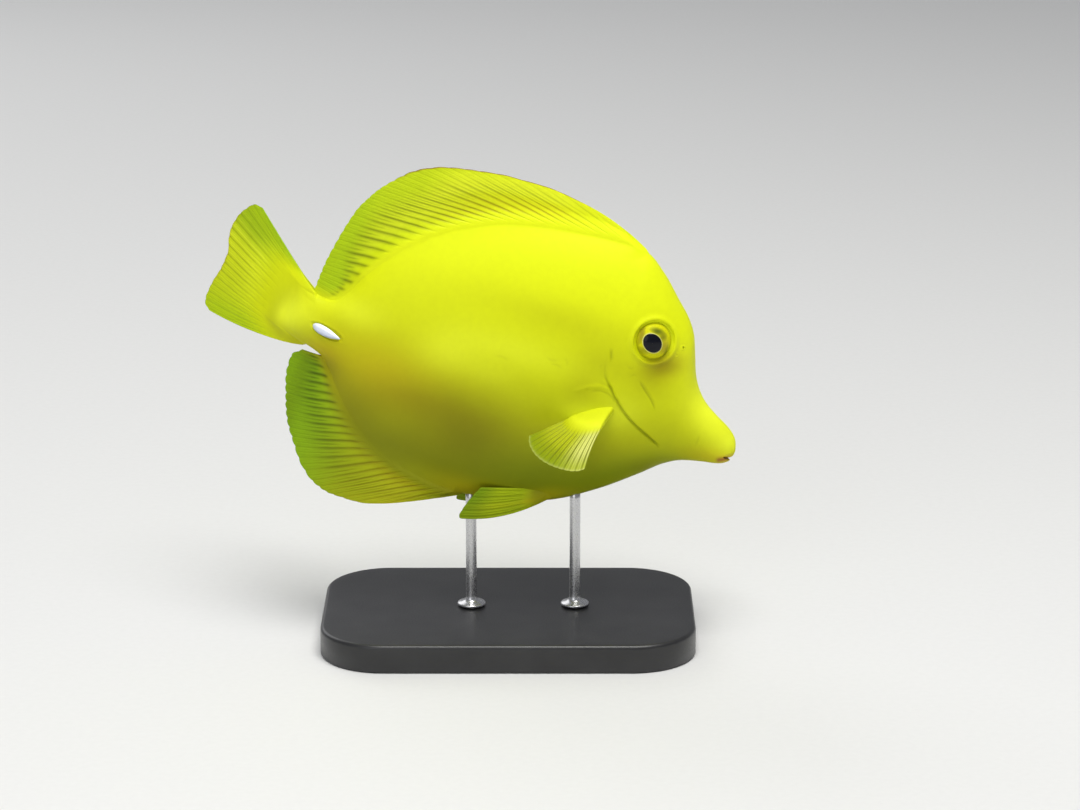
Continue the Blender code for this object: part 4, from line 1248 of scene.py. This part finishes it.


# Smudges on the iris: (forward, up, size forward, size up) and linear colour. The last three lie at its rim
# and are painted shade of the orbit's rim.
EYE_SPOTS = [
    ((-0.3, 3.0, 1.8, 0.8), (0.14, 0.17, 0.010)),
    ((1.6, 1.9, 1.1, 1.1), (0.26, 0.26, 0.010)),
    ((2.7, -0.6, 1.2, 1.8), (0.48, 0.42, 0.020)),
    ((-2.6, -3.2, 1.6, 0.9), (0.42, 0.42, 0.010)),
    ((-4.2, 1.2, 0.6, 2.6), (0.36, 0.30, 0.015)),
    ((3.9, -1.9, 0.5, 1.8), (0.32, 0.32, 0.010)),
]


def eye_material():
    """The iris: olive gold, with dark smudges round the pupil's place, those at its rim painted shade, and
    painted shade at its edge.
    """
    shader = Shader("tang_iris", Specular_IOR_Level=0.06)
    ahead, up = shader.field("ahead"), shader.field("up")
    grain = shader.spread(shader.noise(0.5, 4.0))
    colour = shader.mix(grain, (0.60, 0.60, 0.004), (0.74, 0.74, 0.005))
    for (forward, above, long, high), tint in EYE_SPOTS:
        x = shader.math("DIVIDE", shader.math("SUBTRACT", ahead, forward), long)
        z = shader.math("DIVIDE", shader.math("SUBTRACT", up, above), high)
        faded = shader.math("MULTIPLY", shader.squares(x, z), 0.5)
        colour = shader.mix(shader.math("SUBTRACT", 1.0, faded, clamp=True), colour, tint)
    # Painted shade at the iris's edge, where the globe sinks under the orbit's ring
    far = shader.math("SQRT", shader.squares(ahead, up))
    colour = shader.mix(shader.span(far, 4.4, 5.0, 0.0, 0.3), colour, (0.26, 0.24, 0.01))
    return shader.finish(colour, 0.45, shader.bump(grain, 0.1, 0.03))


def spine_material():
    """The blade: bluish white bone, with painted shade on its lower edge and lighter on top, and a little
    darker at its hinge.
    """
    shader = Shader("tang_spine", Coat_Weight=0.3, Coat_Roughness=0.15)
    stops = [(0.0, (0.42, 0.47, 0.60)), (0.45, (0.80, 0.86, 1.0)), (1.0, (0.92, 0.95, 1.0))]
    tint = shader.ramp(shader.span(shader.field("high"), -1, 1), stops)
    tint = shader.mix(shader.span(shader.field("far"), 0.6, 1.0, 0.0, 0.35), tint, (0.35, 0.36, 0.40))
    return shader.finish(tint, 0.32, shader.bump(shader.noise(0.6, 3.0), 0.15, 0.05))


def base_material():
    """Satin black lacquer with a faint grain."""
    shader = Shader("stand_lacquer", Coat_Weight=0.15, Coat_Roughness=0.25)
    grain = shader.noise(0.4, 5.0)
    clouds = shader.spread(shader.noise(9.0, 3.0))
    tint = shader.mix(clouds, (0.012, 0.012, 0.013), (0.020, 0.020, 0.021))
    return shader.finish(tint, shader.spread(grain, 0.34, 0.46), shader.bump(grain, 0.12, 0.03))


def grainy(name, size, dark, light, rough, bump=0.0, **values):
    """A material whose colour and gloss vary a little with a fine grain."""
    shader = Shader(name, **values)
    grain = shader.noise(size, 4.0)
    normal = shader.bump(grain, 0.1, bump) if bump else None
    return shader.finish(shader.mix(shader.spread(grain), dark, light), shader.spread(grain, *rough), normal)


def build_fish():
    flesh = skin_material()
    iris = eye_material()
    lens = grainy(
        "tang_pupil", 1.5, (0.0028, 0.0035, 0.007), (0.004, 0.005, 0.010), (0.12, 0.1875),
        Specular_IOR_Level=0.12, Coat_Weight=0.2,
    )
    lens_ring = grainy("tang_pupil_ring", 0.6, (0.546, 0.532, 0.14), (0.78, 0.76, 0.20), (0.32, 0.5))
    bone = spine_material()
    made = [(skin(flesh), "skin", ["head", "torso", "tail_stalk"])]
    made += [(piece, "fin", [node]) for piece, node in fins(flesh)]
    for word, outward in SIDES:
        made.append((eyeball(word, outward, iris), "eye", ["eye_" + word]))
        made.append((pupil(word, outward, lens, lens_ring), "eye", []))
        made.append((tail_spine(word, outward, bone), "tail_spine", ["tail_spine_" + word]))
    return made


def build_stand():
    steel = grainy(
        "stand_steel", 0.3, (0.50, 0.50, 0.51), (0.66, 0.66, 0.67), (0.22, 0.36), bump=0.02, Metallic=1.0
    )
    made = [(base_plate(base_material()), "stand_base", ["stand_base"])]
    made += [(rod(name, x, steel), "stand_rod", [name]) for name, x in ROD_AT.items()]
    return made


# Studio: the floor's rings, the lights, and a camera in metres and degrees
FLOOR_RINGS = (0.001, 0.5, 1.5, 4.0)
FLOOR_SEGMENTS = 96
LIT_PLACE = Vector((0.0, 0.0, 0.07))
# (name, place, size, power in watts, linear colour)
LIGHTS = [
    ("key", (0.12, -0.30, 1.1), 0.7, 11.0, (1.0, 0.99, 0.96)),
    ("front_fill", (-0.5, -1.1, 0.5), 0.9, 2.6, (0.96, 0.98, 1.0)),
    ("back_fill", (-0.6, 0.9, 0.7), 0.9, 3.0, (1.0, 1.0, 1.0)),
]
SKY = (0.93, 0.95, 1.0, 1.0)
SKY_STRENGTH = 0.30
CAMERA_DOWN = 16.0
CAMERA_LENS = 120.0
SENSOR = 36.0
FRAME_SIZE = (1080, 810)
SNOUT_PIXEL = (735.0, 452.0)
SNOUT_AWAY = 1.0


def floor():
    shader = Shader("studio_floor")
    grain = shader.spread(shader.noise(2.0))
    shader.finish(shader.mix(grain, (0.77, 0.77, 0.76), (0.785, 0.785, 0.775)), 0.7)
    angle = around(FLOOR_SEGMENTS)
    radius = np.array(FLOOR_RINGS)[:, None]
    grid = np.stack(np.broadcast_arrays(radius * np.cos(angle), radius * np.sin(angle), 0.0), axis=2)
    quads = grid_quads(len(FLOOR_RINGS), FLOOR_SEGMENTS, wrap=True)[:, ::-1]
    obj = make_mesh("studio_floor", grid.reshape(-1, 3), quads, None, [shader.material])


def light(name, where, size, power, colour):
    """A round lamp that points at the fish."""
    data = bpy.data.lights.new(name, "AREA")
    data.shape = "DISK"
    data.size = size
    data.energy = power
    data.color = colour
    obj = bpy.data.objects.new(name, data)
    obj.location = where
    obj.rotation_euler = (obj.location - LIT_PLACE).to_track_quat("Z", "Y").to_euler()
    bpy.context.scene.collection.objects.link(obj)


def studio():
    world_look = bpy.data.worlds.new("studio")
    world_look.use_nodes = True
    background = world_look.node_tree.nodes["Background"]
    background.inputs["Color"].default_value = SKY
    background.inputs["Strength"].default_value = SKY_STRENGTH
    bpy.context.scene.world = world_look
    bpy.context.scene.view_settings.view_transform = "Standard"
    for row in LIGHTS:
        light(*row)


def camera():
    """Looks a little down on the fish's right flank, with its snout where the photograph has it."""
    tilt = math.radians(CAMERA_DOWN)
    view = Vector((0.0, math.cos(tilt), -math.sin(tilt)))
    right = Vector((1.0, 0.0, 0.0))
    up = right.cross(view)
    pixels = CAMERA_LENS / SENSOR * FRAME_SIZE[0]
    across = (SNOUT_PIXEL[0] - FRAME_SIZE[0] / 2) / pixels
    above = (FRAME_SIZE[1] / 2 - SNOUT_PIXEL[1]) / pixels
    snout = Vector((SNOUT_AHEAD * MM, 0.0, SNOUT_HEIGHT * MM))
    data = bpy.data.cameras.new("camera")
    data.lens = CAMERA_LENS
    data.sensor_width = SENSOR
    obj = bpy.data.objects.new("camera", data)
    bpy.context.scene.collection.objects.link(obj)
    turn = Matrix((right, up, -view)).transposed().to_4x4()
    place = snout - SNOUT_AWAY * (view + across * right + above * up)
    obj.matrix_world = Matrix.Translation(place) @ turn
    bpy.context.scene.camera = obj


for piece, slot, nodes in build_fish() + build_stand():
    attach(piece, "root")
    if nodes:
        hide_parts(*nodes)
floor()
studio()
camera()
